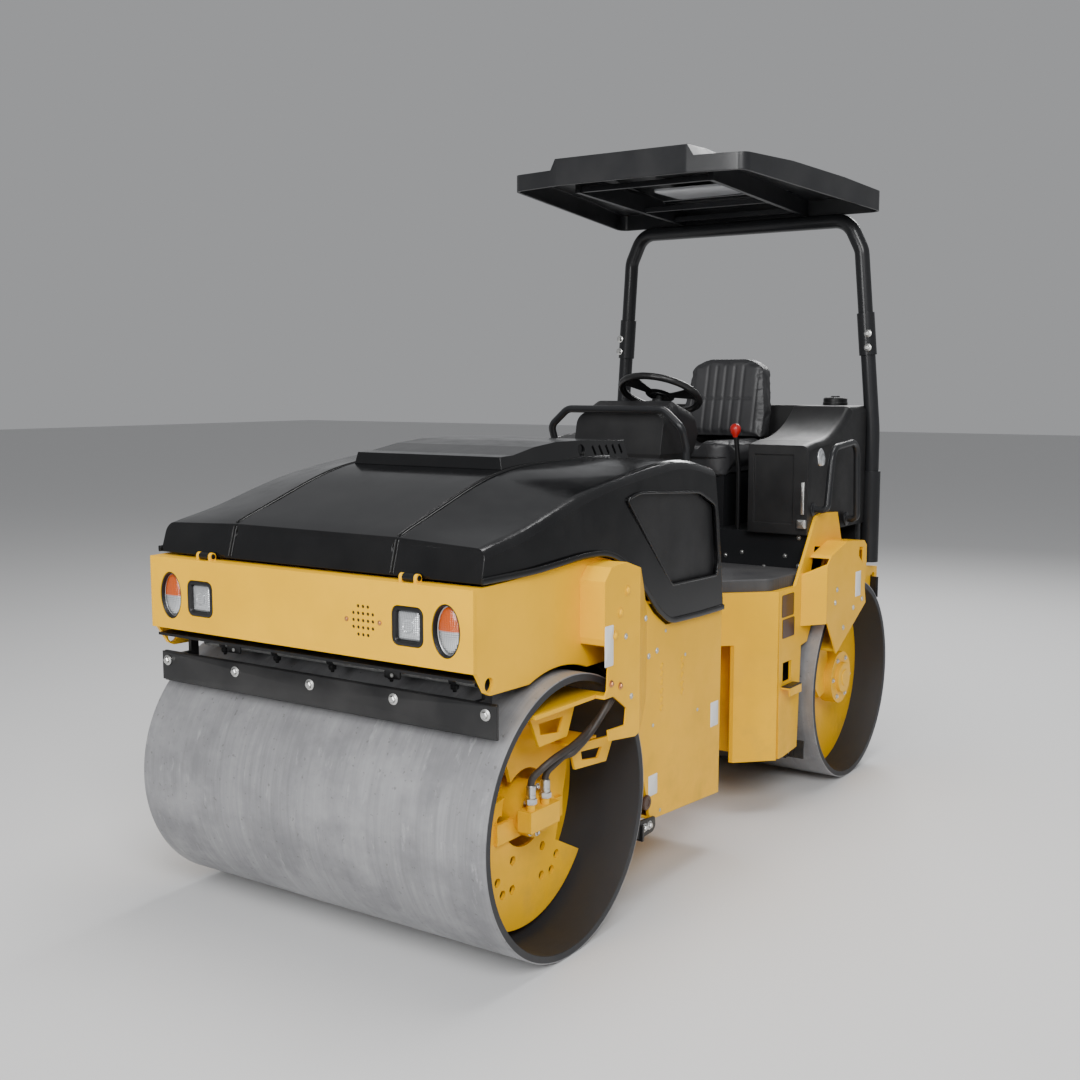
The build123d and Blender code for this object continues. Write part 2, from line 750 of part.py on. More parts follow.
def seat_back():
    """Back rest that leans away, narrower at the top, with round corners."""
    half = seat_width / 2
    high = seat_top + back_height
    lean = side_sheet([(-1130, seat_top), (-1215, seat_top), (-1275, high - 10), (-1205, high)], (-half, half))
    front = cross_sheet([(-half + 8, seat_top - 1), (-half, seat_top + 110), (-half + 22, high + 1),
                         (half - 22, high + 1), (half, seat_top + 110), (half - 8, seat_top - 1)], (-1400, -1000))
    back = lean & front
    corners = [edge for edge in back.edges() if edge.center().Z > high - 60 and abs(edge.center().Y) > half - 60
               and abs(edge.tangent_at(0.5).X) > 0.9]
    return fillet(corners, 55)


def console():
    """Side console: flat beside the seat, then a curved ramp up to the tank, with a rounded outer edge."""
    low = shelf_top
    ramp = ThreePointArc((-790, 0, 1372), (-990, 0, 1415), (-1120, 0, tank_top))
    outline = [
        Line((tank_front, 0, low), (console_front, 0, low)),
        Line((console_front, 0, low), (console_front, 0, 1357)),
        Line((console_front, 0, 1357), (-790, 0, 1372)),
        ramp,
        Line((-1120, 0, tank_top), (tank_front, 0, tank_top)),
        Line((tank_front, 0, tank_top), (tank_front, 0, low)),
    ]
    box = extrude(make_face(outline), amount=console_outer - console_inner, dir=(0, 1, 0))
    box = Pos(0, console_inner, 0) * box
    outer = [edge for edge in box.edges() if edge.center().Y > console_outer - 1 and edge.center().Z > 1300
             and abs(edge.tangent_at(0.5).Z) < 0.9]
    box = fillet(outer, 28)
    recess = block((console_front - 6, console_front + 1), (console_inner + 25, console_outer - 60), (low + 40, 1320))
    return box - recess


def rear_tank():
    tank = block((tank_back, tank_front), (-560, 560), (axle_z + drum_radius + pan_gap + pan_sheet, tank_top))
    cap = bar_z(-1355, 430, (tank_top, tank_top + 28), 48)
    return tank + cap


def steering_tower():
    """Pedestal that widens into a rounded cowl under the wheel, with the column's stub on top."""
    profile = [(-280, floor_top), (-440, floor_top), (-455, 1200), (-560, 1400), (-520, 1490), (-400, 1525),
               (-290, 1480), (-262, 1330)]
    cowl = side_sheet(profile, (-190, 190))
    waist = cross_sheet([(-120, floor_top - 1), (120, floor_top - 1), (140, 1200), (190, 1330), (190, 1540),
                         (-190, 1540), (-190, 1330), (-140, 1200)], (-700, -200))
    tower = cowl & waist
    upper = [edge for edge in tower.edges() if edge.center().Z > 1380 and abs(edge.center().Y) > 180
             and abs(edge.tangent_at(0.5).Z) < 0.9]
    tower = fillet(upper, 40)
    x, y, z = wheel_centre
    column = bar_z(0, 0, (-240, -hub_depth - face_gap), 26) + bar_z(0, 0, (-40, -12), stub_radius)
    return tower + Pos(x, y, z) * Rot(0, -wheel_tilt, 0) * column


def steering_wheel():
    rim = Torus(wheel_radius, wheel_tube)
    hub = bar_z(0, 0, (-hub_depth, 0), 36)
    spokes = []
    for angle in (90, 210, 330):
        spoke = Rot(0, 0, angle) * Pos(wheel_radius / 2, 0, -10) * Box(wheel_radius, 26, 8)
        spokes.append(spoke)
    wheel = joined([rim, hub] + spokes)
    wheel -= bar_z(0, 0, (-hub_depth - 1, -11), stub_radius + running_fit)
    return Pos(*wheel_centre) * Rot(0, -wheel_tilt, 0) * wheel


def control_levers():
    lever = tube([(-760, 270, 1015), (-760, 270, 1250), (-745, 262, 1395)], [120], 9)
    knob = Pos(-743, 261, 1410) * Sphere(20)
    return lever + knob


def handrails():
    front = tube([(-285, 285, floor_top), (-285, 285, 1350), (-250, 285, 1430), (-250, 210, 1495),
                  (-250, -210, 1495), (-250, -285, 1430), (-285, -285, 1350), (-285, -285, floor_top)],
                 [60, 45, 50, 50, 45, 60], 14)
    side = tube([(-745, console_outer, 1110), (-745, 650, 1110), (-790, 650, 1345), (-1040, 650, 1365),
                 (-1060, 650, 1050), (-1060, frame_half, 1050)], [22, 60, 60, 22], 13)
    return [front] + pair(side)


def rops_posts():
    """Two lower posts, each with a socket that takes the portal's leg."""
    low = drum_top + pan_gap + pan_sheet
    post = bar_z(post_x, post_y, (low, sleeve_top), sleeve_radius)
    post -= bar_z(post_x, post_y, (sleeve_top - socket_depth, sleeve_top + 1), tube_radius + 0.3)
    return pair(post)


def rops_portal():
    """Bent tube over the seat, with a bolted splice on each leg."""
    bend = portal_top - 124
    lean = (post_y - portal_half) / (bend - 1400)
    half = [
        (post_x, post_y, sleeve_top - socket_depth),
        (post_x, post_y, 1400),
        (post_x + 22, portal_half, bend),
        (post_x + 26, portal_half - 60, portal_top),
    ]
    points = half + [(x, -y, z) for x, y, z in reversed(half)]
    portal = tube(points, [900, 90, 90, 90, 90, 900], tube_radius)
    y_low = post_y - (splice_low - 1400) * lean
    y_high = post_y - (splice_high - 1400) * lean
    x_low = post_x + 22 * (splice_low - 1400) / (bend - 1400)
    x_high = post_x + 22 * (splice_high - 1400) / (bend - 1400)
    collar = tube([(x_low, y_low, splice_low), (x_high, y_high, splice_high)], [], tube_radius + 6)
    return joined([portal] + pair(collar))


canopy_front = -267.0
canopy_back = -1335.0


def canopy_plan(inset):
    return [
        (-300 - inset, 495 - inset),
        (canopy_front - inset, hump_half - inset),
        (canopy_front - inset, -hump_half + inset),
        (-300 - inset, -495 + inset),
        (canopy_back + inset, -625 + inset),
        (canopy_back + inset, 625 - inset),
    ]


def canopy_side(inset, drop):
    """Side view: the rim's lower edge and the roof both rise towards the front."""
    low = canopy_low - drop
    rise = canopy_slope
    top = canopy_low + canopy_rim - inset
    return [(canopy_back - 5, low), (canopy_front + 5, low + rise), (canopy_front + 5, top + rise - 8),
            (-620, top + rise - 2), (-1000, top + 34), (canopy_back - 5, top + 10)]


def canopy_body(inset, drop):
    plan = flat_sheet(canopy_plan(inset), (canopy_low - 60, canopy_low + 240))
    plan = fillet(plan.edges().filter_by(Axis.Z), 45 - inset)
    wings = plan & side_sheet(canopy_side(inset, drop), (-700, 700))
    half = hump_half - inset
    top = canopy_low + canopy_rim + canopy_slope - inset
    hump = cross_sheet([(-half - 40, top - 30), (-half, top + hump_rise), (half, top + hump_rise), (half + 40, top - 30)],
                       (-1150, canopy_front + 5))
    slope = side_sheet([(canopy_front + 5, top - 40), (canopy_front + 5, top + hump_rise - 6), (-420, top + hump_rise),
                        (-1150, top - 16), (-1150, top - 40)], (-400, 400))
    return wings + (hump & slope & plan)


def canopy():
    """Moulded roof with a turned-down rim and a raised hump along its middle."""
    return canopy_body(0, 0) - canopy_body(canopy_wall, 40)


def canopy_frame():
    """Bars under the roof: two along it from the portal, three across, and a square round the roof light."""
    seat = portal_top + tube_radius
    rise = canopy_slope / (canopy_front - canopy_back)
    roof = canopy_low + canopy_rim - canopy_wall + 10
    rail = side_sheet([(-1320, seat), (-440, seat + 880 * rise), (-440, roof + 34), (-620, roof + 37),
                       (-1000, roof + 23.5), (-1320, roof)], (280, 300))
    bars = []
    for x in (-1240, -980, -470):
        low = seat + (x + 1320) * rise + 4
        bars.append(block((x, x + 20), (-280, 280), (low, low + 20)))
    return joined(pair(rail) + bars)


# Hood

hood_stations = [
    (1420, frame_half - 9, 1158, 1160),
    (1300, frame_half - 5, 1188, 1212),
    (1154, frame_half - 1, 1218, 1262),
    (957, frame_half + 1, 1271, 1322),
    (743, frame_half + 2, 1313, 1348),
    (506, frame_half + 3, 1345, 1353),
    (244, frame_half + 3, 1342, 1348),
    (20, frame_half + 3, 1318, 1336),
]
hood_bottom_half = frame_half + 15


def hood_section(x, half, crease, crown, inset):
    """Outline across the hood: straight sides, a rounded shoulder and a raised middle."""
    low = drum_top + 10
    points = [
        (x, -hood_bottom_half + inset, low),
        (x, -half + inset, crease - inset),
        (x, -300, crown - inset),
        (x, 300, crown - inset),
        (x, half - inset, crease - inset),
        (x, hood_bottom_half - inset, low),
    ]
    face = make_face(Polyline(points, close=True))
    corners = face.vertices().sort_by(Axis.Z)[-4:]
    shoulders = [v for v in corners if abs(v.Y) > 400]
    return fillet(shoulders, 30 - inset)


def hood_body(inset=0.0):
    return loft([hood_section(x, half, crease, crown, inset) for x, half, crease, crown in hood_stations])


def hood_trim(inset=0.0):
    """Side view of the hood: trim line, sloping front, leaning rear edge."""
    return [
        (hood_front - inset, drum_top + 288),
        (hood_front - 24 - inset, drum_top + 372),
        (hood_front - 60 - inset, 1500),
        (123 + inset - 10, 1500),
        (123 + inset, 1323),
        (94 + inset, 1143),
        (69 + inset, drum_top + 37 + hood_gap),
        (axle_x - 822, drum_top + 37 + hood_gap),
        (axle_x - 609, drum_top + 43 + hood_gap),
        (axle_x - 530, drum_top + 92 + hood_gap),
        (axle_x - 437, drum_top + 180 + hood_gap),
        (axle_x - 346, drum_top + 251 + hood_gap),
        (axle_x - 270, drum_top + 286 + hood_gap),
        (axle_x - 200, drum_top + 301 + hood_gap),
        (axle_x - 94, drum_top + 299 + hood_gap),
        (axle_x + 103, drum_top + 288 + hood_gap),
    ]


def hood_shell():
    outer = hood_body() & side_sheet(hood_trim(), (-700, 700))
    ends = [point for point in hood_trim(hood_wall)[:6]]
    ends += [(ends[-1][0], drum_top - 100), (ends[0][0], drum_top - 100)]
    inner = hood_body(hood_wall) & side_sheet(ends, (-700, 700))
    shell = outer - inner
    window = hood_window(0)
    cut_y = (frame_half - 45, frame_half + 95)
    for cut in pair(side_sheet(window, cut_y)):
        shell -= cut
    for cut in pair(hood_seam()):
        shell -= cut
    return shell


def hood_seam():
    """Groove where the hood's middle and side mouldings meet, up the front and back along the crown."""
    points = [(hood_front + 20, 296, 1100), (hood_front - 40, 296, 1185), (1154, 296, 1262), (957, 296, 1322),
              (760, 300, 1347)]
    return tube(points, [], 4)


def hood_window(grow):
    return [(696 + grow, 1252 + grow), (626, 1268 + grow), (241, 1245 + grow), (126 - grow, 1195 + grow),
            (99 - grow, 1009), (110 - grow, 960 - grow), (421 + grow, 966 - grow)]


def hood_side_panels():
    panel = side_sheet(hood_window(-1), (frame_half - 11, frame_half - 5))
    return pair(panel)


def hood_scoop():
    """Raised cover on the hood's rear half, with slanted slots and a round recess in each side."""
    top = [(895, 1200), (868, 1374), (800, 1377), (680, 1397), (557, 1408), (430, 1408), (140, 1400), (135, 1200)]
    body = side_sheet(top, (-290, 290))
    taper = cross_sheet([(-296, 1200), (-290, 1330), (-268, 1420), (268, 1420), (290, 1330), (296, 1200)], (0, 1000))
    scoop = (body & taper) - hood_body()
    for place in range(5):
        slot = Pos(345 - place * 42, 283, 1372) * Rot(0, 20, 0) * Box(13, 22, 32)
        for cut in pair(slot):
            scoop -= cut
    for cut in pair(bar_y(420, (272, 300), 1374, 21)):
        scoop -= cut
    return scoop


def hood_hinges():
    solids = []
    for y in (-385, 385):
        pin = bar_y(hinge_x, (y - 32, y + 32), hinge_z, hinge_pin)
        knuckle = bar_y(hinge_x, (y - 19, y + 19), hinge_z, hinge_eye)
        leaf = block((hood_front - 30, hinge_x), (y - 19, y + 19), (hinge_z + 2, hinge_z + 10))
        leaf -= side_sheet(hood_trim(), (-700, 700))
        solids.append(joined([pin, knuckle, leaf]))
    return solids


nodes = {
    "front_sides": front_sides(),
    "front_pans": front_pans(),
    "front_beam": front_beam(),
    "front_lamps": lamps(True),
    "engine_block": engine(),
    "front_arm_left": arm_plate_side(),
    "front_carrier_left": plate_carrier(),
    "front_motor": motor(),
    "front_hoses": drive_hoses(),
    "front_arm_right": half_turn(arm_hub_side()),
    "front_hub_right": half_turn(hub_carrier()),
    "front_scraper": front_scraper(),
    "front_spray_bar": spray_bar(),
    "inner_scraper": inner_scraper(),
    "rear_scraper": half_turn(front_scraper()),
    "rear_spray_bar": half_turn(spray_bar()),
    "rear_inner_scraper": rear_inner_scraper(),
    "hood_shell": hood_shell(),
    "hood_scoop": hood_scoop(),
    "hood_side_panels": hood_side_panels(),
    "hood_hinges": hood_hinges(),
    "front_drum_shell": drum_shell(),
    "front_drum_webs": drum_webs(),
    "pivot_link": pivot_link(),
    "pivot_pin": pivot_pin(),
    "steer_barrel": steer_barrel(),
    "steer_rod": steer_rod(),
    "rear_sides": rear_sides(),
    "rear_skirts": rear_skirts(),
    "rear_pans": rear_pans(),
    "pivot_fork": pivot_fork(),
    "rear_beam": rear_beam(),
    "rear_lamps": rear_lamps(),
    "rear_arm_left": arm_hub_side(),
    "rear_hub_left": hub_carrier(),
    "rear_arm_right": half_turn(arm_plate_side()),
    "rear_carrier_right": half_turn(plate_carrier()),
    "rear_motor": half_turn(motor()),
    "rear_hoses": [half_turn(hose) for hose in drive_hoses()],
    "rear_drum_shell": half_turn(drum_shell()),
    "rear_drum_webs": half_turn(drum_webs()),
    "platform_floor": platform_floor(),
    "seat_base": seat_base(),
    "seat_cushion": seat_cushion(),
    "seat_back": seat_back(),
    "console_left": console(),
    "console_right": other_side(console()),
    "rear_tank": rear_tank(),
    "steering_tower": steering_tower(),
    "steering_wheel": steering_wheel(),
    "control_levers": control_levers(),
    "handrails": handrails(),
    "rops_posts": rops_posts(),
    "rops_portal": rops_portal(),
    "canopy": canopy(),
    "canopy_frame": canopy_frame(),
}

os.makedirs("parts", exist_ok=True)
for name, shape in nodes.items():
    whole = Compound(children=shape) if isinstance(shape, list) else shape
    export_step(whole, f"parts/{name}.step")
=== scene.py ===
"""Tandem road roller: finishes, fittings, soft parts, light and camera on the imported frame."""
from math import cos, pi, radians, sin

import bmesh
import bpy
import numpy as np
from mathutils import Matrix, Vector
from mathutils.bvhtree import BVHTree


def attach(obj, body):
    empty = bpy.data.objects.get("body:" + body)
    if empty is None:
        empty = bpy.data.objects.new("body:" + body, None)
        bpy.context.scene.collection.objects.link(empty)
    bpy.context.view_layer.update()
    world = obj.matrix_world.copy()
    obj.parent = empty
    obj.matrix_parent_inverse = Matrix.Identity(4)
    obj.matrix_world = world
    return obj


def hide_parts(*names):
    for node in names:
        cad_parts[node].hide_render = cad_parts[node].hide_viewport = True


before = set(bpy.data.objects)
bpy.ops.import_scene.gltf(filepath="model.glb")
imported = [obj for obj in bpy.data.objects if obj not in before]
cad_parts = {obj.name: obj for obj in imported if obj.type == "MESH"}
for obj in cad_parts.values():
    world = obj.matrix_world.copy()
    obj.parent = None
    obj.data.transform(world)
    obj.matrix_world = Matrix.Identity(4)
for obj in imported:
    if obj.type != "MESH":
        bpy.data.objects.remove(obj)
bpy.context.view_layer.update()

bl_info = {
    "name": "Road roller dressing",
    "version": (1, 0, 0),
    "blender": (4, 5, 0),
    "location": "3D View > Sidebar > Roller",
    "description": "Adds fittings and finishes to a tandem road roller",
    "category": "Object",
}

ALONG, LEFT, UP = np.eye(3)
FACING_AHEAD = {"u": LEFT, "v": UP, "n": ALONG}
FACING_UP = {"u": ALONG, "v": LEFT, "n": UP}
FACING_BACK = {"u": -LEFT, "v": UP, "n": -ALONG}

# Metres, for materials and meshes
AXLE_AHEAD, AXLE_HIGH = 1.05, 0.4
MERGE_WITHIN = 2e-5
PAD_VOXEL = 0.006

# Inset and height, in millimetres, of the thin plates' stations
LABEL_RIM = [(0, 0.1), (0, 0.8), (0.6, 1.2)]
PLATE_RIM = [(0, 0.1), (0, 1.2), (0.8, 1.8)]

CLOTH_FRAMES = 20
CLOTH_PRESSURE = 4


# Surfaces, all in millimetres

def grid(points, closed=False, loop=False):
    """Quads over rows and columns of points; closed joins the last column to the first, loop the last row."""
    rows, columns = points.shape[:2]
    i = np.arange(rows if loop else rows - 1)[:, None]
    j = np.arange(columns if closed else columns - 1)[None, :]
    i2, j2 = (i + 1) % rows, (j + 1) % columns
    corners = [i * columns + j, i * columns + j2, i2 * columns + j2, i2 * columns + j]
    return points.reshape(-1, 3), np.stack(corners, -1).reshape(-1, 4)


def gathered(*shapes):
    """Several shapes as one: points stacked, faces renumbered."""
    starts = np.cumsum([0] + [len(points) for points, _ in shapes[:-1]])
    points = np.concatenate([points for points, _ in shapes])
    faces = np.concatenate([faces + start for (_, faces), start in zip(shapes, starts)])
    return points, faces


def copies(shape, places):
    """The shape once at every place: each point plus each offset."""
    points, faces = shape
    places = np.asarray(places, float).reshape(-1, 3)
    steps = np.arange(len(places)) * len(points)
    return (points[None] + places[:, None]).reshape(-1, 3), (faces[None] + steps[:, None, None]).reshape(-1, 4)


def across(shape):
    """The shape and its mirror image over the machine's middle: Y changes sign."""
    points, faces = shape
    return gathered(shape, (points * (1, -1, 1), faces))


def opposite(shape):
    """The shape turned half round the upright axis: X and Y change sign."""
    points, faces = shape
    return points * (-1, -1, 1), faces


def placed(shape, degrees, place, axis=LEFT):
    """The shape turned about an axis at the origin, v cos a + (k x v) sin a + k (k.v)(1 - cos a), then moved."""
    v, faces = shape
    a, k = radians(degrees), np.asarray(axis, float)
    leaning = v * cos(a) + np.cross(k, v) * sin(a) + np.outer(v @ k, k) * (1 - cos(a))
    return leaning + place, faces


def square_to(axis):
    """Unit axis with two unit vectors square to it and to each other."""
    out = np.asarray(axis, float) / np.linalg.norm(axis)
    side = np.cross(out, UP if abs(out[2]) < 0.9 else LEFT)
    side /= np.linalg.norm(side)
    return out, side, np.cross(out, side)


def turned(profile, centre, axis, segments=32):
    """Profile of radius and height carried round an axis: centre + h axis + r (cos a u + sin a v)."""
    out, u, v = square_to(axis)
    radius, height = np.asarray(profile, float).T
    angle = np.arange(segments) * 2 * pi / segments
    ring = np.cos(angle)[:, None] * u + np.sin(angle)[:, None] * v
    points = np.asarray(centre, float) + height[:, None, None] * out + radius[:, None, None] * ring
    return grid(points, closed=True)


def rounded(outline, radius, steps=6, open_ended=False):
    """Corners eased by parabolas: (1-t)^2 a + 2t(1-t) p + t^2 b, with a and b a radius away on the two sides."""
    p = np.asarray(outline, float)
    before, after = np.roll(p, 1, 0) - p, np.roll(p, -1, 0) - p
    reach_before = np.linalg.norm(before, axis=1, keepdims=True)
    reach_after = np.linalg.norm(after, axis=1, keepdims=True)
    radius = np.asarray(radius, float).reshape(-1, 1)
    a = p + before * np.minimum(radius / np.maximum(reach_before, 1e-9), 0.49)
    b = p + after * np.minimum(radius / np.maximum(reach_after, 1e-9), 0.49)
    t = np.linspace(0, 1, steps + 1)[None, :, None]
    curve = (1 - t) ** 2 * a[:, None] + 2 * t * (1 - t) * p[:, None] + t ** 2 * b[:, None]
    if open_ended:
        return np.concatenate([p[:1], curve[1:-1].reshape(-1, p.shape[1]), p[-1:]])
    return curve.reshape(-1, p.shape[1])


def oval(wide, high, count=40):
    """Ellipse: half the width times cos a, half the height times sin a."""
    a = np.arange(count) * 2 * pi / count
    return np.stack([wide / 2 * np.cos(a), high / 2 * np.sin(a)], 1)


def box_outline(wide, high, radius=0.0, steps=6):
    """Rectangle about the origin, its corners eased where a radius is given."""
    half = np.array([[-1, -1], [1, -1], [1, 1], [-1, 1]]) * (wide / 2, high / 2)
    return rounded(half, radius, steps) if radius else half.astype(float)


def shrunk(outline, inset):
    """Outline moved inwards: each corner along the sum of its sides' normals, lengthened for the mitre."""
    before, after = outline - np.roll(outline, 1, 0), np.roll(outline, -1, 0) - outline
    area = np.sum(outline[:, 0] * np.roll(outline[:, 1], -1) - outline[:, 1] * np.roll(outline[:, 0], -1))
    normals = [np.stack([-e[:, 1], e[:, 0]], 1) / np.maximum(np.linalg.norm(e, axis=1, keepdims=True), 1e-9)
               for e in (before, after)]
    middle = normals[0] + normals[1]
    middle /= np.maximum(np.sum(middle ** 2, 1, keepdims=True) / 2, 0.4)
    return outline + np.sign(area) * inset * middle


def slab(outline, stations, origin, u=ALONG, v=UP, n=LEFT):
    """Outline carried through stations of inset and height: origin + x u + y v + h n, closed at both ends."""
    outline = np.asarray(outline, float)
    rings = [shrunk(outline, inset) for inset, _ in stations]
    rings = [rings[0] * 0 + rings[0].mean(0)] + rings + [rings[-1] * 0 + rings[-1].mean(0)]
    heights = [stations[0][1]] + [height for _, height in stations] + [stations[-1][1]]
    flat = np.array(rings)
    points = (np.asarray(origin, float) + flat[..., :1] * u + flat[..., 1:] * v
              + np.array(heights)[:, None, None] * np.asarray(n, float))
    return grid(points, closed=True)


def swept(path, section, up=UP, closed=True, loop=False):
    """Section carried along a path: p + s (t x up) + h ((t x up) x t), ends drawn to a point."""
    path, section = np.asarray(path, float), np.asarray(section, float)
    if loop:
        along = np.roll(path, -1, 0) - np.roll(path, 1, 0)
    else:
        along = np.gradient(path, axis=0)
    along /= np.linalg.norm(along, axis=1, keepdims=True)
    side = np.cross(along, up)
    side /= np.linalg.norm(side, axis=1, keepdims=True)
    high = np.cross(side, along)
    points = path[:, None] + section[None, :, :1] * side[:, None] + section[None, :, 1:] * high[:, None]
    if not loop:
        points = np.concatenate([points[:1] * 0 + path[0], points, points[-1:] * 0 + path[-1]])
    return grid(points, closed=closed, loop=loop)


def domed(outline, rise, origin, u=ALONG, v=UP, n=LEFT, steps=8):
    """Outline shrunk towards its middle by cos a while it climbs by rise sin a, a from 0 to a right angle."""
    outline = np.asarray(outline, float)
    middle = outline.mean(0)
    a = np.linspace(0, pi / 2, steps)
    rings = middle + (outline - middle) * np.cos(a)[:, None, None]
    heights = rise * np.sin(a)
    rings = np.concatenate([rings[:1] * 0 + middle, rings[:1], rings])
    heights = np.concatenate([[-6, -6], heights])
    points = (np.asarray(origin, float) + rings[..., :1] * u + rings[..., 1:] * v
              + heights[:, None, None] * np.asarray(n, float))
    return grid(points, closed=True)


def laid_on(node, path, down=(0, 0, -1), lift=0.0):
    """Path's points moved along a direction onto a solid's surface, then raised back by lift."""
    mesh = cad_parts[node].data
    tree = BVHTree.FromPolygons(mesh_points(mesh).tolist(), [tuple(f.vertices) for f in mesh.polygons])
    down = np.asarray(down, float)
    start = np.asarray(path, float) / 1000 - down * 0.2
    hits = [tree.ray_cast(Vector(point), Vector(down))[0] or Vector(point + down * 0.2) for point in start]
    return np.array([tuple(hit) for hit in hits]) * 1000 - down * lift


def even(path, step):
    """Points every so many millimetres along straight runs."""
    path = np.asarray(path, float)
    reach = np.concatenate([[0], np.cumsum(np.linalg.norm(np.diff(path, axis=0), axis=1))])
    at = np.linspace(0, reach[-1], int(reach[-1] / step) + 2)
    return np.stack([np.interp(at, reach, path[:, i]) for i in range(3)], 1)


def edged(thick, soft):
    """Stations of a plate with softened rims."""
    return [(soft, 0), (0, soft), (0, thick - soft), (soft * 0.3, thick - soft * 0.3), (soft, thick)]


def hexagon_bolt(axis, size, washer=1.75):
    """Washer and six-sided head on a face at the origin, size being half the head's width."""
    ring = turned([(0, 0), (size * washer, 0), (size * washer, 2), (size * washer - 1, 2.6), (0, 2.6)], (0, 0, 0),
                  axis, 20)
    head = turned([(0, 2.6), (size * 1.12, 2.6), (size * 1.12, size * 0.95), (size * 0.9, size * 1.2),
                   (0, size * 1.25)], (0, 0, 0), axis, 6)
    return gathered(ring, head)


def domed_bolt(axis, size):
    """Round head: radius falls as a quarter circle while the height rises."""
    a = np.linspace(0, pi / 2, 6)
    profile = [(0, 0), (size * 1.5, 0), (size * 1.5, 1.5)] + [(size * cos(x), 1.5 + size * 0.6 * sin(x)) for x in a]
    return turned(profile, (0, 0, 0), axis, 20)


# Materials

class Wire:
    """A number that leaves a node; arithmetic on it adds Math nodes."""

    def __init__(self, shade, socket):
        self.shade = shade
        self.socket = socket

    def maths(self, operation, first, second):
        return self.shade.node("ShaderNodeMath", {"operation": operation}, {0: first, 1: second})

    def __add__(self, other):
        return self.maths("ADD", self, other)

    def __sub__(self, other):
        return self.maths("SUBTRACT", self, other)

    def __rsub__(self, other):
        return self.maths("SUBTRACT", other, self)

    def __mul__(self, other):
        return self.maths("MULTIPLY", self, other)

    def __pow__(self, other):
        return self.maths("POWER", self, other)

    __radd__ = __add__
    __rmul__ = __mul__


class Shade:
    """One procedural material on Object coordinates."""

    def __init__(self, name, colour, roughness, **constants):
        self.material = bpy.data.materials.new(name)
        self.material.use_nodes = True
        self.tree = self.material.node_tree
        self.surface = self.tree.nodes["Principled BSDF"]
        for setting, value in constants.items():
            self.surface.inputs[setting.replace("_", " ").title().replace("Ior", "IOR")].default_value = value
        self.feed("Base Color", colour)
        self.feed("Roughness", roughness)

    def feed(self, name, value):
        socket = self.surface.inputs[name]
        if isinstance(value, Wire):
            self.tree.links.new(value.socket, socket)
        else:
            socket.default_value = (*value, 1) if name == "Base Color" and len(value) == 3 else value

    def node(self, kind, settings=None, inputs=None, output=0):
        made = self.tree.nodes.new(kind)
        for name, value in (settings or {}).items():
            setattr(made, name, value)
        for key, value in (inputs or {}).items():
            socket = made.inputs[key]
            if isinstance(value, Wire):
                self.tree.links.new(value.socket, socket)
            elif getattr(socket, "type", "") == "RGBA" and len(value) == 3:
                socket.default_value = (*value, 1)
            else:
                socket.default_value = value
        return Wire(self, made.outputs[output])

    def spot(self, stretch=(1, 1, 1)):
        place = self.node("ShaderNodeTexCoord", output=3)
        return self.node("ShaderNodeMapping", {}, {0: place, 3: stretch})

    def noise(self, scale, detail=3, rough=0.55, stretch=(1, 1, 1)):
        return self.node("ShaderNodeTexNoise", {}, {"Vector": self.spot(stretch), "Scale": scale, "Detail": detail,
                                                    "Roughness": rough})

    def axis(self, index):
        return self.node("ShaderNodeSeparateXYZ", {}, {0: self.spot()}, index)

    def from_axle(self):
        """How far past the nearer axle, a = |x| - axle, and how far from it, sqrt(a^2 + (z - height)^2)."""
        past = self.node("ShaderNodeMath", {"operation": "ABSOLUTE"}, {0: self.axis(0)}) - AXLE_AHEAD
        level = self.axis(2) - AXLE_HIGH
        return past, (past * past + level * level) ** 0.5

    def bands(self, direction, scale, distortion=0.0, detail=2.0):
        return self.node("ShaderNodeTexWave", {"wave_type": "BANDS", "bands_direction": direction},
                         {"Vector": self.spot(), "Scale": scale, "Distortion": distortion, "Detail": detail})

    def between(self, value, low, high):
        """Mask that climbs from 0 at low to 1 at high; falls where low is the larger."""
        return self.node("ShaderNodeMapRange", {"clamp": True}, {0: value, 1: low, 2: high, 3: 0.0, 4: 1.0})

    def mix(self, factor, first, second):
        return self.node("ShaderNodeMix", {"data_type": "RGBA"}, {0: factor, 6: first, 7: second}, 2)

    def bump(self, height, strength, distance=0.001, normal=None):
        inputs = {"Height": height, "Strength": strength, "Distance": distance}
        if normal:
            inputs["Normal"] = normal
        return self.node("ShaderNodeBump", {}, inputs)

    def soft_edges(self, radius):
        return self.node("ShaderNodeBevel", {"samples": 4}, {"Radius": radius})

    def edges(self, radius, low=0.03, high=0.25):
        """Mask of the outer corners: one less the dot product of the eased and the true normal."""
        flat = self.node("ShaderNodeNewGeometry", output=3)
        dot = self.node("ShaderNodeVectorMath", {"operation": "DOT_PRODUCT"}, {0: self.soft_edges(radius), 1: flat}, 1)
        return self.between(1 - dot, low, high)


finishes = {}


def finish(name, maker):
    if name not in finishes:
        finishes[name] = maker(name).material
    return finishes[name]


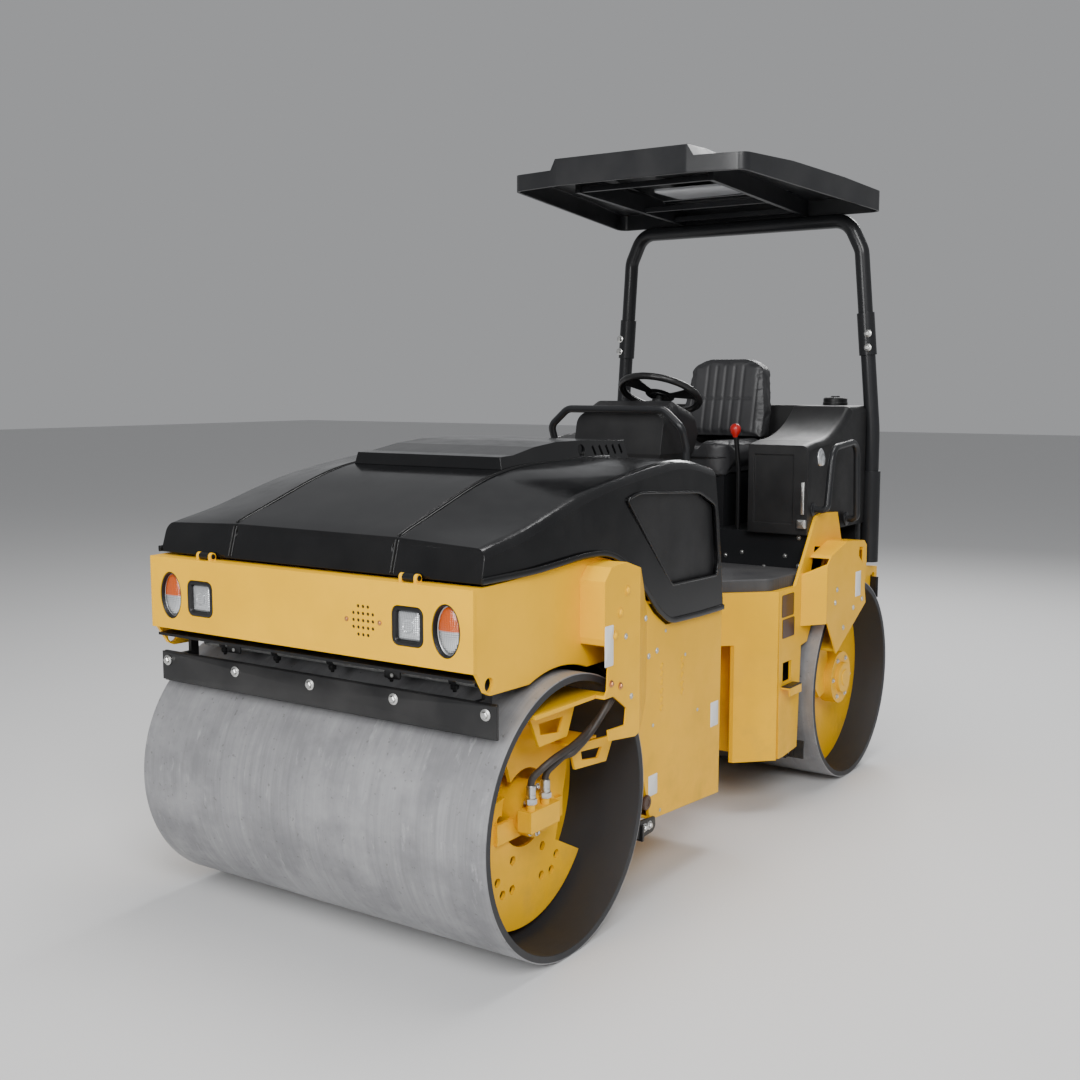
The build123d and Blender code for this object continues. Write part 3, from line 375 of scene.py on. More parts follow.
def paint(colour, roughness=0.34, dust=0.25, chips=0.5, coat=0.08, edge=0.003, paint_arch_shade=False):
    """Sprayed enamel: faint orange peel, dust low down, and bare primer where corners are rubbed; optionally near-black
    painted shade on the pans about the drum's arch.
    """
    def maker(name):
        shade = Shade(name, colour, roughness, coat_weight=coat, coat_roughness=0.12, specular_ior_level=0.2)
        cloud = shade.noise(3.5, 4)
        shift = tuple(c * 0.90 for c in colour)
        tone = shade.mix(shade.between(cloud, 0.35, 0.65), colour, shift)
        height = shade.axis(2)
        if paint_arch_shade:
            # painted shade: near-black on the pans within 0.45 m of the axle, where they face the drum, and on the
            # apron above 0.76 m past the axle
            away, radius = shade.from_axle()
            apron = shade.between(away, 0.05, 0.06) * shade.between(height, 0.75, 0.76)
            arch_shade_mask = shade.node("ShaderNodeMath", {"operation": "MAXIMUM"},
                                {0: shade.between(radius, 0.4506, 0.4500), 1: apron})
            tone = shade.mix(arch_shade_mask, tone, (0.010, 0.010, 0.011))
        low = shade.between(height, 0.75, 0.15) * shade.between(shade.noise(9, 5), 0.45, 0.7)
        tone = shade.mix(low * dust, tone, (0.20, 0.17, 0.13))
        rub = shade.edges(edge * 0.7) * shade.between(shade.noise(45, 4), 0.56, 0.66) * chips
        tone = shade.mix(rub, tone, tuple(c * 0.35 + 0.04 for c in colour))
        shade.feed("Base Color", tone)
        shade.feed("Roughness", roughness + 0.10 * shade.between(shade.noise(14, 4), 0.3, 0.7) + low * 0.3)
        shade.feed("Normal", shade.bump(shade.noise(420, 2), 0.035, 0.0006, shade.soft_edges(edge)))
        return shade
    return maker


def plastic(colour, roughness, grain=0.0, grain_scale=900, edge=0.003, coat=0.0, dust=0.15):
    """Moulded plastic: a little wax bloom in clouds, and a leathery or sandy grain."""
    def maker(name):
        shade = Shade(name, colour, roughness, coat_weight=coat, coat_roughness=0.06, specular_ior_level=0.34)
        cloud = shade.between(shade.noise(5, 5), 0.4, 0.75)
        shade.feed("Base Color", shade.mix(cloud * dust, colour, (0.16, 0.155, 0.15)))
        shade.feed("Roughness", roughness + 0.12 * shade.between(shade.noise(11, 5), 0.35, 0.7))
        shade.feed("Normal", shade.bump(shade.noise(grain_scale, 3, 0.6), max(grain, 0.02), 0.0006,
                                        shade.soft_edges(edge)))
        return shade
    return maker


def bare_metal(colour, roughness, brushed):
    """Plated or machined steel: fine brushing along one axis and dull patches."""
    def maker(name):
        shade = Shade(name, colour, roughness, metallic=1.0)
        lines = shade.noise(160, 3, 0.7, brushed)
        patch = shade.between(shade.noise(18, 4), 0.4, 0.7)
        shade.feed("Base Color", shade.mix(patch * 0.5, colour, tuple(c * 0.62 for c in colour)))
        shade.feed("Roughness", roughness + 0.16 * lines + 0.12 * patch)
        shade.feed("Normal", shade.bump(lines, 0.05, 0.0004))
        return shade
    return maker


def rolled_steel(name):
    """Drum shell: ground steel outside with bands round it, scuffs and grey bloom; near-black painted shade on the
    inner wall.
    """
    steel = (0.335, 0.335, 0.345)
    shade = Shade(name, steel, 0.42)
    radius = shade.from_axle()[1]
    # painted shade: the shell's inner wall, within 0.396 m of the axle, is coloured near-black and made non-metallic
    # for the shadow inside the drum
    inside = shade.between(radius, 0.3975, 0.396)
    bands = shade.noise(4, 5, 0.65, (0.6, 14, 0.6))
    fine = shade.noise(9, 4, 0.7, (1, 26, 1))
    cloud = shade.noise(5.5, 6, 0.6)
    scuff = shade.between(shade.noise(20, 6, 0.7, (0.5, 1.6, 0.5)), 0.60, 0.72)
    tone = shade.mix(shade.between(bands, 0.3, 0.7), (0.27, 0.27, 0.28), (0.38, 0.38, 0.39))
    tone = shade.mix(shade.between(cloud, 0.42, 0.62) * 0.75, tone, (0.225, 0.225, 0.235))
    stain = shade.between(shade.noise(2.6, 5, 0.6), 0.50, 0.66)
    tone = shade.mix(stain * 0.55, tone, (0.47, 0.47, 0.48))
    tone = shade.mix(scuff * 0.5, tone, (0.55, 0.55, 0.56))
    speck = shade.between(shade.noise(75, 3, 0.5), 0.66, 0.72)
    tone = shade.mix(speck * 0.5, tone, (0.12, 0.115, 0.11))
    # painted shadow on the drum's inner wall
    tone = shade.mix(inside, tone, (0.022, 0.023, 0.026))
    shade.feed("Base Color", tone)
    shade.feed("Metallic", (1 - inside) * 0.55)
    shade.feed("Roughness", 0.40 + 0.16 * shade.between(cloud, 0.3, 0.7) + 0.12 * fine + inside * 0.05)
    grooves = bands * 0.6 + fine * 0.4 + scuff * 0.3
    shade.feed("Normal", shade.bump(grooves, 0.10, 0.0012, shade.soft_edges(0.004)))
    return shade


def vinyl(name):
    """Seat cover: leathery cells with soft valleys, and a slight sheen where it is sat on."""
    shade = Shade(name, (0.028, 0.028, 0.030), 0.42, coat_weight=0.1, coat_roughness=0.4)
    cells = shade.node("ShaderNodeTexVoronoi", {"feature": "SMOOTH_F1"}, {"Vector": shade.spot(), "Scale": 420.0,
                                                                            "Smoothness": 0.6})
    crease = shade.noise(38, 4, 0.6)
    wear = shade.between(shade.noise(7, 4), 0.4, 0.7)
    shade.feed("Base Color", shade.mix(wear * 0.5, (0.026, 0.026, 0.028), (0.05, 0.05, 0.052)))
    shade.feed("Roughness", 0.50 - 0.12 * wear + 0.08 * cells)
    shade.feed("Normal", shade.bump(cells * 0.7 + crease * 0.5, 0.22, 0.0012))
    return shade


def hose_cover(name):
    """Rubber hose with a wrapped cover: bands that lean across it."""
    shade = Shade(name, (0.022, 0.017, 0.014), 0.5)
    wrap = shade.bands("DIAGONAL", 70.0, 1.2)
    shade.feed("Base Color", shade.mix(shade.between(shade.noise(12, 4), 0.35, 0.7), (0.020, 0.015, 0.012),
                                       (0.045, 0.036, 0.030)))
    shade.feed("Roughness", 0.42 + 0.2 * shade.noise(30, 3))
    shade.feed("Normal", shade.bump(wrap, 0.12, 0.0008))
    return shade


def tread_mat(name):
    """Platform's rubber: round studs in rows, from a smooth cell pattern."""
    shade = Shade(name, (0.045, 0.045, 0.048), 0.6)
    studs = shade.node("ShaderNodeTexVoronoi", {"feature": "F1"}, {"Vector": shade.spot((1, 1, 0.001)), "Scale": 55.0,
                                                                   "Randomness": 0.0})
    shade.feed("Base Color", shade.mix(shade.between(shade.noise(6, 5), 0.4, 0.75), (0.04, 0.04, 0.043),
                                       (0.075, 0.074, 0.073)))
    shade.feed("Roughness", 0.55 + 0.15 * shade.noise(15, 4))
    height = shade.between(studs, 0.42, 0.28) + 0.2 * shade.noise(500, 2)
    shade.feed("Normal", shade.bump(height, 0.25, 0.0015, shade.soft_edges(0.004)))
    return shade


def lens(colour, roughness=0.06, ribs=0.5, depth=0.0, upper=None):
    """Moulded lamp cover: fine flutes in a clear or tinted plastic, with another tint above its middle."""
    def maker(name):
        shade = Shade(name, colour, roughness, coat_weight=0.8, coat_roughness=0.03)
        flutes, cross = shade.bands("Y", 55.0), shade.bands("Z", 55.0)
        dark = tuple(c * 0.45 for c in colour)
        tone = shade.mix(flutes * 0.6, colour, dark)
        shade.feed("Metallic", depth)
        if upper:
            top = shade.between(shade.axis(2), 0.963, 0.967)
            tone = shade.mix(top, tone, shade.mix(flutes * 0.5, upper, tuple(c * 0.5 for c in upper)))
            shade.feed("Metallic", (1 - top) * depth)
        shade.feed("Base Color", tone)
        shade.feed("Normal", shade.bump(flutes * 0.6 + cross * 0.6, ribs, 0.002))
        return shade
    return maker


def roller_finishes():
    look = bpy.context.scene.roller_look
    yellow = tuple(look.yellow)
    return {
        "yellow": finish("yellow_enamel", paint(yellow, look.gloss)),
        "yellow_arch_painted_shade": finish("yellow_enamel_arch_shade_painted", paint(yellow, look.gloss, paint_arch_shade=True)),
        "gloss_black": finish("hood_gloss_black",
                              plastic((0.0040, 0.0041, 0.0046), 0.13, 0.02, 500, 0.0035, 0.15, 0.03)),
        "panel": finish("console_grained_black", plastic((0.0085, 0.0085, 0.0092), 0.40, 0.16, 1100, 0.004, 0.0, 0.08)),
        "dark_paint": finish("roll_bar_charcoal", paint((0.016, 0.0165, 0.018), 0.30, 0.1, 0.12, 0.2)),
        "canopy": finish("canopy_charcoal", plastic((0.013, 0.0135, 0.015), 0.30, 0.05, 700, 0.006, 0.2, 0.08)),
        "black_steel": finish("bracket_black", paint((0.008, 0.008, 0.0085), 0.34, 0.2, 0.2, 0.2)),
        "engine": finish("engine_grey", paint((0.10, 0.11, 0.12), 0.5, 0.3, 0.4, 0.0)),
        "bright": finish("turned_steel", bare_metal((0.55, 0.55, 0.56), 0.26, (1, 8, 1))),
        "zinc": finish("zinc_plate", bare_metal((0.66, 0.66, 0.64), 0.24, (3, 3, 3))),
        "copper": finish("copper_screw", bare_metal((0.62, 0.30, 0.14), 0.3, (3, 3, 3))),
        "drum": finish("rolled_drum_steel", rolled_steel),
        "hose": finish("hose_cover", hose_cover),
        "rubber": finish("scraper_rubber", plastic((0.007, 0.007, 0.0075), 0.33, 0.08, 240, 0.003, 0.1, 0.12)),
        "soft_black": finish("grip_black", plastic((0.007, 0.007, 0.0075), 0.33, 0.08, 1500, 0.002, 0.1, 0.08)),
        "vinyl": finish("seat_vinyl", vinyl),
        "mat": finish("platform_mat", tread_mat),
        "amber": finish("amber_lens", lens((0.72, 0.20, 0.035))),
        "clear": finish("clear_lens", lens((0.62, 0.64, 0.66), 0.05, 0.35, 0.55)),
        "split": finish("amber_and_clear_lens", lens((0.70, 0.72, 0.74), 0.05, 0.3, 0.75, (0.56, 0.085, 0.004))),
        "red": finish("red_lens", lens((0.42, 0.012, 0.008))),
        "red_grip": finish("red_lever_top", plastic((0.42, 0.012, 0.010), 0.3, 0.02, 600, 0.002, 0.3)),
        "label": finish("blank_label_white", plastic((0.78, 0.78, 0.76), 0.4, 0.02, 300, 0.0005, 0.1, 0.1)),
        "brown_plate": finish("blank_plate_brown", plastic((0.055, 0.022, 0.010), 0.35, 0.02, 300, 0.0005, 0.2, 0.1)),
        # painted shade: flat matte near-black for holes and grooves that lie in shadow
        "painted_shade": finish("painted_shade_black", plastic((0.006, 0.006, 0.006), 0.8, 0.0, 300, 0.001, 0.0, 0.0)),
        "pale": finish("roof_light_cover", plastic((0.50, 0.51, 0.53), 0.3, 0.05, 200, 0.002, 0.3, 0.2)),
    }


node_looks = {
    "yellow": ["front_sides", "front_beam", "front_arm_left", "front_carrier_left", "front_motor",
               "front_arm_right", "front_hub_right", "front_drum_webs", "pivot_link", "rear_sides", "rear_skirts",
               "pivot_fork", "rear_beam", "rear_arm_left", "rear_hub_left", "rear_arm_right",
               "rear_carrier_right", "rear_motor", "rear_drum_webs"],
    "yellow_arch_painted_shade": ["front_pans", "rear_pans"],
    "gloss_black": ["hood_shell", "hood_scoop"],
    "panel": ["hood_side_panels", "console_left", "console_right", "rear_tank", "steering_tower"],
    "dark_paint": ["rops_posts", "rops_portal", "canopy_frame", "seat_base", "handrails"],
    "canopy": ["canopy"],
    "black_steel": ["front_spray_bar", "rear_spray_bar", "rear_inner_scraper", "hood_hinges", "steer_barrel",
                    "control_levers"],
    "engine": ["engine_block"],
    "bright": ["pivot_pin", "steer_rod"],
    "drum": ["front_drum_shell", "rear_drum_shell"],
    "hose": ["front_hoses", "rear_hoses"],
    "rubber": ["front_scraper", "rear_scraper", "inner_scraper"],
    "soft_black": ["steering_wheel"],
    "vinyl": ["seat_cushion", "seat_back"],
    "mat": ["platform_floor"],
    "red": ["rear_lamps"],
    "clear": ["front_lamps"],
}


def piece(name, shape, look, body, angle=35, bevel=0.0, stands_for=()):
    """Mesh from a shape in millimetres, its doubles merged and its faces turned outwards, on one body."""
    points, faces = shape
    mesh = bpy.data.meshes.new(name)
    mesh.from_pydata((points / 1000).tolist(), [], faces.tolist())
    work = bmesh.new()
    work.from_mesh(mesh)
    bmesh.ops.remove_doubles(work, verts=work.verts, dist=MERGE_WITHIN)
    bmesh.ops.recalc_face_normals(work, faces=work.faces)
    work.to_mesh(mesh)
    work.free()
    mesh.polygons.foreach_set("use_smooth", np.ones(len(mesh.polygons), bool))
    mesh.set_sharp_from_angle(angle=radians(angle))
    made = bpy.data.objects.new(name, mesh)
    bpy.context.scene.collection.objects.link(made)
    made.data.materials.append(roller_finishes()[look])
    if bevel:
        rim = made.modifiers.new("rim", "BEVEL")
        rim.width, rim.segments, rim.limit_method, rim.angle_limit = bevel / 1000, 2, "ANGLE", radians(30)
        rim.harden_normals = False
    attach(made, body)
    if stands_for:
        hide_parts(*stands_for)
    return made


def at_both_ends(name, shape, look, bodies=("front_frame", "rear_frame"), bevel=0.0):
    """The front piece, and the same turned half round for the rear."""
    piece("front_" + name, shape, look, bodies[0], bevel=bevel)
    piece("rear_" + name, opposite(shape), look, bodies[1], bevel=bevel)


def smoothed(made, levels):
    smooth = made.modifiers.new("smooth", "SUBSURF")
    smooth.levels = smooth.render_levels = levels


# Operators

class RollerOperator(bpy.types.Operator):
    bl_options = {"REGISTER", "UNDO"}

    def execute(self, context):
        self.make(context.scene.roller_sizes, context.scene.roller_look)
        return {"FINISHED"}


class ROLLER_OT_stage(RollerOperator):
    """Pale floor, soft studio lights and the camera"""
    bl_idname = "roller.stage"
    bl_label = "Stage"

    def make(self, sizes, look):
        floor = bpy.data.meshes.new("studio_floor")
        reach = 40.0
        floor.from_pydata([(-reach, -reach, 0), (reach, -reach, 0), (reach, reach, 0), (-reach, reach, 0)], [],
                          [(0, 1, 2, 3)])
        ground = bpy.data.objects.new("studio_floor", floor)
        bpy.context.scene.collection.objects.link(ground)
        shade = Shade("studio_floor_pale", (0.62, 0.62, 0.62), 0.75)
        shade.feed("Roughness", 0.7 + 0.1 * shade.noise(2, 2))
        floor.materials.append(shade.material)
        world = bpy.data.worlds.new("studio_air")
        world.use_nodes = True
        world.node_tree.nodes["Background"].inputs[0].default_value = (0.82, 0.83, 0.85, 1)
        world.node_tree.nodes["Background"].inputs[1].default_value = look.sky
        bpy.context.scene.world = world
        for name, place, aim, size, power in (
            ("key", (5.5, 5.0, 5.2), (0.3, 0.3, 0.7), 3.2, 520),
            ("front_soft", (7.2, 0.6, 2.9), (0.8, 0, 0.6), 2.6, 250),
            ("top_strip", (-0.2, 0.4, 6.0), (0, 0, 1.0), 3.0, 240),
            ("back_rim", (-5.6, -0.6, 4.8), (-0.8, 0.2, 1.2), 2.4, 240),
        ):
            data = bpy.data.lights.new(name, "AREA")
            data.size, data.energy = size, power
            lamp = bpy.data.objects.new(name, data)
            lamp.location = place
            lamp.rotation_mode = "QUATERNION"
            lamp.rotation_quaternion = (Vector(aim) - Vector(place)).to_track_quat("-Z", "Y")
            bpy.context.scene.collection.objects.link(lamp)
        data = bpy.data.cameras.new("photo_camera")
        data.sensor_width, data.lens = 36.0, 43.966
        camera = bpy.data.objects.new("photo_camera", data)
        yaw, pitch = -2.5448, -0.1170
        ahead = Vector((cos(yaw) * cos(pitch), sin(yaw) * cos(pitch), sin(pitch)))
        camera.location = (4.0188, 2.5619, 1.5857)
        camera.rotation_mode = "QUATERNION"
        camera.rotation_quaternion = ahead.to_track_quat("-Z", "Y")
        bpy.context.scene.collection.objects.link(camera)
        bpy.context.scene.camera = camera


class ROLLER_OT_finishes(RollerOperator):
    """Gives every solid of the frame its material"""
    bl_idname = "roller.finishes"
    bl_label = "Finishes"

    def make(self, sizes, look):
        looks = roller_finishes()
        for name, nodes in node_looks.items():
            for node in nodes:
                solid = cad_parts[node]
                solid.data.materials.clear()
                solid.data.materials.append(looks[name])


class ROLLER_OT_lamps(RollerOperator):
    """Upright oval lamps, square lamps, horn openings drawn as discs of painted shade, and tail lamps"""
    bl_idname = "roller.lamps"
    bl_label = "Lamps"

    def make(self, sizes, look):
        face = sizes.beam_face
        y, z = sizes.oval_y, sizes.lamp_z
        bezel = slab(oval(91, 139, 48), [(0, -34), (0, -3), (1, -1.5), (3.5, -1.5), (4.5, -4), (6, -16), (7, -20)],
                     (face, y, z), **FACING_AHEAD)
        piece("oval_lamp_bezels", across(bezel), "soft_black", "front_frame", stands_for=("front_lamps",))
        cover = domed(oval(76, 127, 48), 14, (face - 17, y + 2.5, z), **FACING_AHEAD)
        piece("oval_lamp_covers", across(cover), "split", "front_frame", 60)
        trim = swept(np.insert(oval(77, 128, 64), 0, 0, 1) + (face - 14, y + 2.5, z), oval(4, 4, 8), ALONG, loop=True)
        piece("oval_lamp_trims", across(trim), "bright", "front_frame", 60)
        side = box_outline(105, 105, 26, 7)
        bezel = slab(side, [(0, -34), (0, -2), (1.5, 1), (4, 1.6), (10, 1), (12, -1), (14, -10), (15, -14)],
                     (face, sizes.square_y, z), **FACING_AHEAD)
        piece("square_lamp_bezels", across(bezel), "soft_black", "front_frame")
        glass = domed(shrunk(side, 14), 9, (face - 11, sizes.square_y, z), **FACING_AHEAD)
        bowl = turned([(0, -3), (11, -2), (17, 1.6), (19, 1.6), (19, -3)], (face - 3, sizes.square_y, z), ALONG, 32)
        piece("square_lamp_glass", across(gathered(glass, bowl)), "clear", "front_frame", 60)
        screws = copies(domed_bolt(ALONG, 4.5), [(face, sizes.grid_y - 58, z), (face, sizes.grid_y + 58, z)])
        piece("horn_grille_screws", screws, "copper", "front_frame")
        # painted shade: flat near-black discs stand for the horn grille's openings
        disc = turned([(0, 0), (4.4, 0), (4.4, 1), (0, 1)], (face - 2.5, sizes.grid_y, z), ALONG, 14)
        places = [(0, 17 * (i - (count - 1) / 2), 19 * (2 - row)) for row, count in enumerate((3, 5, 5, 5, 3))
                  for i in range(count)]
        piece("horn_opening_shade_discs", copies(disc, places), "painted_shade", "front_frame")
        tail = turned([(0, -2), (36, -2), (36, 12), (33, 15), (30, 15), (27, 11), (16, 13.5), (0, 15)],
                      (-sizes.beam_face, 500, 772), -ALONG, 40)
        piece("tail_lamps", across(tail), "red", "rear_frame", 60, stands_for=("rear_lamps",))


class ROLLER_OT_scrapers(RollerOperator):
    """Bolted scraper strips, and spray pipes with clamps and nozzles over the drums"""
    bl_idname = "roller.scrapers"
    bl_label = "Scrapers and nozzles"

    def make(self, sizes, look):
        x = sizes.axle_x + 321
        strip = slab(box_outline(1268, 88, 3), edged(7, 1.5), (x, 0, 733), **FACING_AHEAD)
        bolts = copies(hexagon_bolt(ALONG, 9), [(x + 7, y, 750) for y in (-609, -314, -14, 293, 600)])
        inner = copies(domed_bolt(LEFT, 6), [(568, 566, 222), (590, 566, 216)])
        piece("inner_scraper_bolts", across(inner), "zinc", "front_frame")
        inner = copies(domed_bolt(ALONG, 6), [(-626.8, 546, 200), (-626.8, 574, 200), (-626.8, 560, 176)])
        piece("rear_inner_scraper_bolts", across(inner), "zinc", "rear_frame")
        at_both_ends("scraper_strip", strip, "rubber", bevel=1.2)
        at_both_ends("scraper_bolts", bolts, "zinc")
        bar_x, bar_z = sizes.axle_x + 250, 808
        nozzle = turned([(0, -34), (5, -34), (6, -28), (11, -26), (12, -16), (9, -14), (9, 0)], (bar_x, 0, bar_z),
                        UP, 18)
        collar = turned([(12, -13), (15, -11), (15, 11), (12, 13)], (bar_x, 0, bar_z), LEFT, 24)
        places = [(0, y, 0) for y in (-440, -220, 0, 220, 440)]
        fittings = gathered(copies(nozzle, places), copies(collar, places))
        sleeve = turned([(0, -515), (12.6, -515), (12.6, 515), (0, 515)], (bar_x, 0, bar_z), LEFT, 28)
        at_both_ends("spray_pipe", sleeve, "zinc")
        clamp = slab(box_outline(56, 46, 6), edged(6, 1.5), (bar_x + 20, 0, bar_z + 4), **FACING_AHEAD)
        clamp_bolts = copies(domed_bolt(ALONG, 3.6), [(bar_x + 26, u, bar_z + 4 + v) for u, v in
                                                      ((-17, 14), (17, 14), (0, -13))])
        sides = [(0, y, 0) for y in (-375, 244)]
        piece("front_spray_clamps", copies(clamp, sides), "soft_black", "front_frame")
        piece("front_spray_clamp_bolts", copies(clamp_bolts, sides), "zinc", "front_frame")
        at_both_ends("nozzles", fittings, "soft_black")


class ROLLER_OT_drum_ends(RollerOperator):
    """Motor, boss and hub bolts, hub caps and hose fittings at the drums' ends"""
    bl_idname = "roller.drum_ends"
    bl_label = "Drum ends"

    def make(self, sizes, look):
        axle = (sizes.axle_x, 0, sizes.axle_z)
        side = sizes.side_face
        angles = np.arange(12) * pi / 6
        ring = np.stack([np.cos(angles), 0 * angles, np.sin(angles)], 1)
        motor_bolts = copies(hexagon_bolt(LEFT, 6), ring * 66 + (axle[0], 534, axle[2]))
        web_bolts = copies(hexagon_bolt(LEFT, 8), ring[::2] * 80 + (axle[0], 420, axle[2]))
        at_both_ends("motor_bolts", motor_bolts, "zinc")
        at_both_ends("boss_bolts", web_bolts, "zinc", ("front_drum", "rear_drum"))
        hub_bolts = copies(hexagon_bolt(LEFT, 6), ring[::2] * 84 + (-axle[0], side, axle[2]))
        cap = turned([(0, 12), (62, 12), (62, 14), (58, 17), (34, 17), (32, 21), (12, 22), (0, 22)],
                     (-axle[0], side, axle[2]), LEFT, 48)
        at_both_ends("hub_bolts", opposite(hub_bolts), "zinc")
        at_both_ends("hub_cap", opposite(cap), "yellow")
        nut = turned([(0, 0), (16, 0), (17, 2), (17, 15), (15, 17), (13, 18)], (0, 0, 0), UP, 6)
        ferrule = turned([(12.2, 16), (13.4, 18), (13.4, 26), (12.6, 27), (13.4, 28), (13.4, 50), (11, 53)],
                         (0, 0, 0), UP, 24)
        ports = [(axle[0] + u, 576, 448) for u in (90, 20)]
        fittings = copies(gathered(nut, ferrule), ports)
        at_both_ends("hose_fittings", fittings, "zinc")


class ROLLER_OT_arms(RollerOperator):
    """Bolts, studs and blank labels on the arms and the side plates"""
    bl_idname = "roller.arms"
    bl_label = "Arms and sides"

    def make(self, sizes, look):
        skin, side = sizes.arm_face, sizes.side_face
        bolts = copies(domed_bolt(LEFT, 6), [(x, skin, z) for x, z in ((714, 911), (645, 804), (694, 795), (827, 876),
                                                                       (794, 696))])
        port_bolts = copies(hexagon_bolt(LEFT, 6), [(906, skin, 753), (856, skin, 738)])
        pads = copies(domed_bolt(LEFT, 10), [(817, skin, 1006), (856, skin, 948), (884, skin, 886)])
        at_both_ends("arm_small_bolts", bolts, "zinc")
        at_both_ends("arm_port_bolts", port_bolts, "copper")
        at_both_ends("arm_weld_studs", pads, "yellow")
        hub_side = copies(domed_bolt(LEFT, 7), [(x, skin, z) for x, z in
                                                ((-845, 645), (-947, 710), (-1040, 733), (-755, 755), (-772, 804))])
        piece("rear_arm_bolts_left", hub_side, "zinc", "rear_frame")
        piece("front_arm_bolts_right", opposite(hub_side), "zinc", "front_frame")
        label = slab(box_outline(46, 116, 4), LABEL_RIM, (918, skin, 862))
        piece("front_arm_label", label, "label", "front_frame")
        label = slab(box_outline(56, 100, 4), LABEL_RIM, (-993, skin, 800))
        piece("rear_arm_label", label, "label", "rear_frame")
        small = gathered(slab(box_outline(56, 84, 4), LABEL_RIM, (95, side, 486)),
                         slab(box_outline(56, 66, 4), LABEL_RIM, (513, side, 346)))
        piece("side_labels", small, "label", "front_frame")
        plates = gathered(slab(box_outline(108, 84, 8), PLATE_RIM, (-500, side, 774)),
                          slab(box_outline(108, 72, 8), PLATE_RIM, (-508, side, 688)))
        piece("rear_side_plates_blank", plates, "brown_plate", "rear_frame")
        stud = turned([(0, -0.5), (11, -0.5), (9, 1.6), (6, 2.8), (0, 3.2)], (0, 0, 0), LEFT, 20)
        rows = [(461, side, z) for z in (714, 689, 662, 634, 607, 581)]
        rows += [(325, side, z) for z in (714, 689, 661, 632, 607)]
        piece("side_pressed_studs", across(copies(stud, rows)), "yellow", "front_frame", 60)
        small_screws = [(441, side, 824), (309, side, 726), (219, side, 526), (516, side, 537), (466, side, 253)]
        piece("side_screws", across(copies(domed_bolt(LEFT, 4), small_screws)), "zinc", "front_frame")
        bracket = [(622, 205), (614, 256), (507, 246), (503, 214), (520, 199), (600, 196)]
        plate = slab(rounded(bracket[::-1], 8), edged(7, 1.5), (0, side, 0))
        bracket_bolts = copies(hexagon_bolt(LEFT, 8), [(576, side + 7, 227), (545, side + 7, 227)])
        piece("scraper_end_brackets", across(plate), "black_steel", "front_frame")
        piece("scraper_end_bolts", across(bracket_bolts), "zinc", "front_frame")
        cap = turned([(0, 0), (24, 0), (24, 5), (21, 8), (12, 8), (10, 6), (0, 6)], (556, side, 301), LEFT, 28)
        piece("side_cap", across(cap), "brown_plate", "front_frame")


class ROLLER_OT_hood(RollerOperator):
    """Trim lips, window frames and seams of the hood, each seam with a strip of painted shadow"""
    bl_idname = "roller.hood"
    bl_label = "Hood details"

    def make(self, sizes, look):
        lip = rounded([(1398, 606, 1096), (1180, 620, 1099), (956, 622, 1113), (850, 622, 1113), (780, 622, 1098),
                       (704, 622, 1062), (613, 621, 992), (520, 621, 903), (441, 621, 855), (228, 621, 849),
                       (72, 621, 849)], 40, 6, True)
        bead = rounded([(-5, -9), (5, -9), (5, 9), (-5, 9)], 4, 3)
        piece("hood_bottom_lips", across(swept(lip, bead)), "gloss_black", "hood", 50)
        window = rounded([(696, 1252), (626, 1268), (241, 1245), (126, 1195), (99, 1009), (110, 960), (421, 966)],
                         [20, 25, 25, 25, 20, 15, 15], 6)
        ring = np.insert(window, 1, 613.0, axis=1)
        piece("hood_window_frames", across(swept(ring, rounded([(-4, -5), (4, -5), (4, 5), (-4, 5)], 3, 3), LEFT,
                                                 loop=True)), "gloss_black", "hood", 50)
        seam = 306
        over = [(x, seam, z) for x, z in ((1358, 1200), (1154, 1262), (957, 1322), (720, 1347), (300, 1350))]
        over = laid_on("hood_shell", even(over, 24), lift=0.3)
        front = laid_on("hood_shell", even([(1500, seam, 1094), (1500, seam, 1176)], 12), (-1, 0, 0), 0.3)
        shut = np.concatenate([front, over])
        near, far = (swept(shut + (0, gap, 0), oval(5, 5, 10), LEFT) for gap in (-5.5, 5.5))
        piece("hood_seam_beads", across(gathered(near, far)), "gloss_black", "hood", 60)
        # painted shadow: a matte near-black strip sunk between the seam's beads
        seam_shadow = swept(shut + (0, 0, -0.4), box_outline(8, 3.2), LEFT)
        piece("hood_seam_painted_shadow", across(seam_shadow), "painted_shade", "hood", 60)


